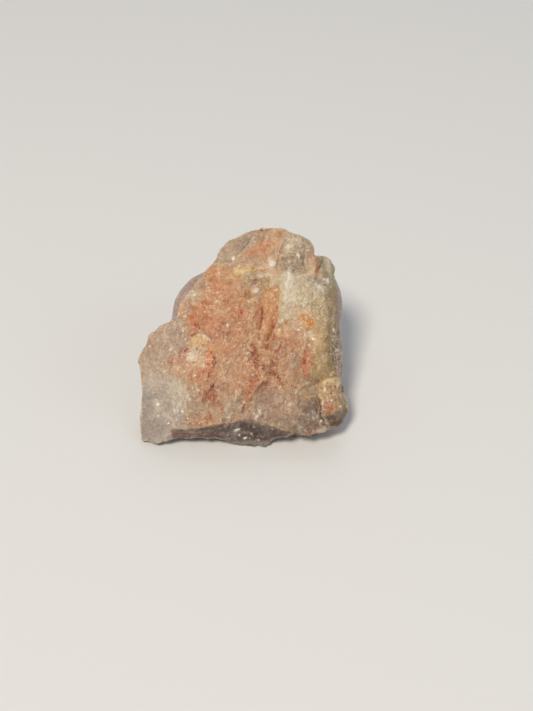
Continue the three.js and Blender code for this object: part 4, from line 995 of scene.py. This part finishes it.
studio = {
    "floor": "#d3d4d6",
    "floorReach": 3.0,      # metres from the middle to each edge
    "floorDrop": 0.0001,    # metres under the stone's foot, so that their faces don't meet
    "aimHeight": 0.018,     # metres, where the lamps point
    "world": 0.30,
    "key": {"turn": -24.0, "rise": 54.0, "distance": 1.4,
            "size": 0.32, "power": 17.1, "colour": "#fff5e3"},
    "fill": {"turn": 60.0, "rise": 35.0, "distance": 1.4,
            "size": 1.0, "power": 2.0, "colour": "#eef2ff"},
    "back": {"turn": 170.0, "rise": 50.0, "distance": 1.4,
            "size": 0.8, "power": 2.8, "colour": "#ffffff"},
}


def setCamera():
    middle = Vector(faceCentre) / 1000.0
    across, up, out = Vector(axisU), Vector(axisV), Vector(axisW)
    spot = middle + out * (view["distance"] / 1000.0)
    aim = middle + across * (view["aim"][0] / 1000.0) + up * (view["aim"][1] / 1000.0)
    data = bpy.data.cameras.new("camera")
    data.lens = view["focalLength"]
    data.sensor_width = view["sensorWidth"]
    data.clip_start = 0.01
    camera = bpy.data.objects.new("camera", data)
    camera.location = spot
    camera.rotation_euler = (aim - spot).to_track_quat("-Z", "Y").to_euler()
    bpy.context.scene.collection.objects.link(camera)
    bpy.context.scene.camera = camera


def addLight(name, turn, rise, distance, size, power, colour):
    turn, rise = math.radians(turn), math.radians(rise)
    away = Vector((math.sin(turn) * math.cos(rise), -math.cos(turn) * math.cos(rise), math.sin(rise)))
    data = bpy.data.lights.new(name, "AREA")
    data.shape = "DISK"
    data.size = size
    data.energy = power
    data.color = linearColour(colour)
    light = bpy.data.objects.new(name, data)
    light.location = Vector((0.0, 0.0, studio["aimHeight"])) + away * distance
    light.rotation_euler = (-away).to_track_quat("-Z", "Y").to_euler()
    bpy.context.scene.collection.objects.link(light)


def paleFloor():
    side = studio["floorReach"]
    mesh = bpy.data.meshes.new("floor")
    corners = [(-side, -side, 0), (side, -side, 0), (side, side, 0), (-side, side, 0)]
    mesh.from_pydata(corners, [], [(0, 1, 2, 3)])
    floor = bpy.data.objects.new("floor", mesh)
    floor.location.z = -studio["floorDrop"]
    bpy.context.scene.collection.objects.link(floor)
    material = bpy.data.materials.new("mattPaintedBoard")
    material.use_nodes = True
    surface = material.node_tree.nodes["Principled BSDF"]
    surface.inputs["Base Color"].default_value = (*linearColour(studio["floor"]), 1.0)
    surface.inputs["Roughness"].default_value = 0.9
    mesh.materials.append(material)


def lightStudio():
    world = bpy.data.worlds.new("studio")
    world.use_nodes = True
    background = world.node_tree.nodes["Background"]
    background.inputs["Color"].default_value = (0.95, 0.97, 1.0, 1.0)
    background.inputs["Strength"].default_value = studio["world"]
    bpy.context.scene.world = world
    for name in ("key", "fill", "back"):
        addLight(name, **studio[name])
    bpy.context.scene.view_settings.view_transform = "Standard"


setCamera()
lightStudio()
paleFloor()
print("studio set")

quartzStone = rebuiltStone()
print("stone rebuilt with", len(quartzStone.data.polygons), "faces")
carve(quartzStone)
print("relief carved")
colourStone(quartzStone)
quartzStone.data.materials.clear()
quartzStone.data.materials.append(milkyQuartz())
print("stone coloured")

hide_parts(stone["node"])
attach(quartzStone, "root")
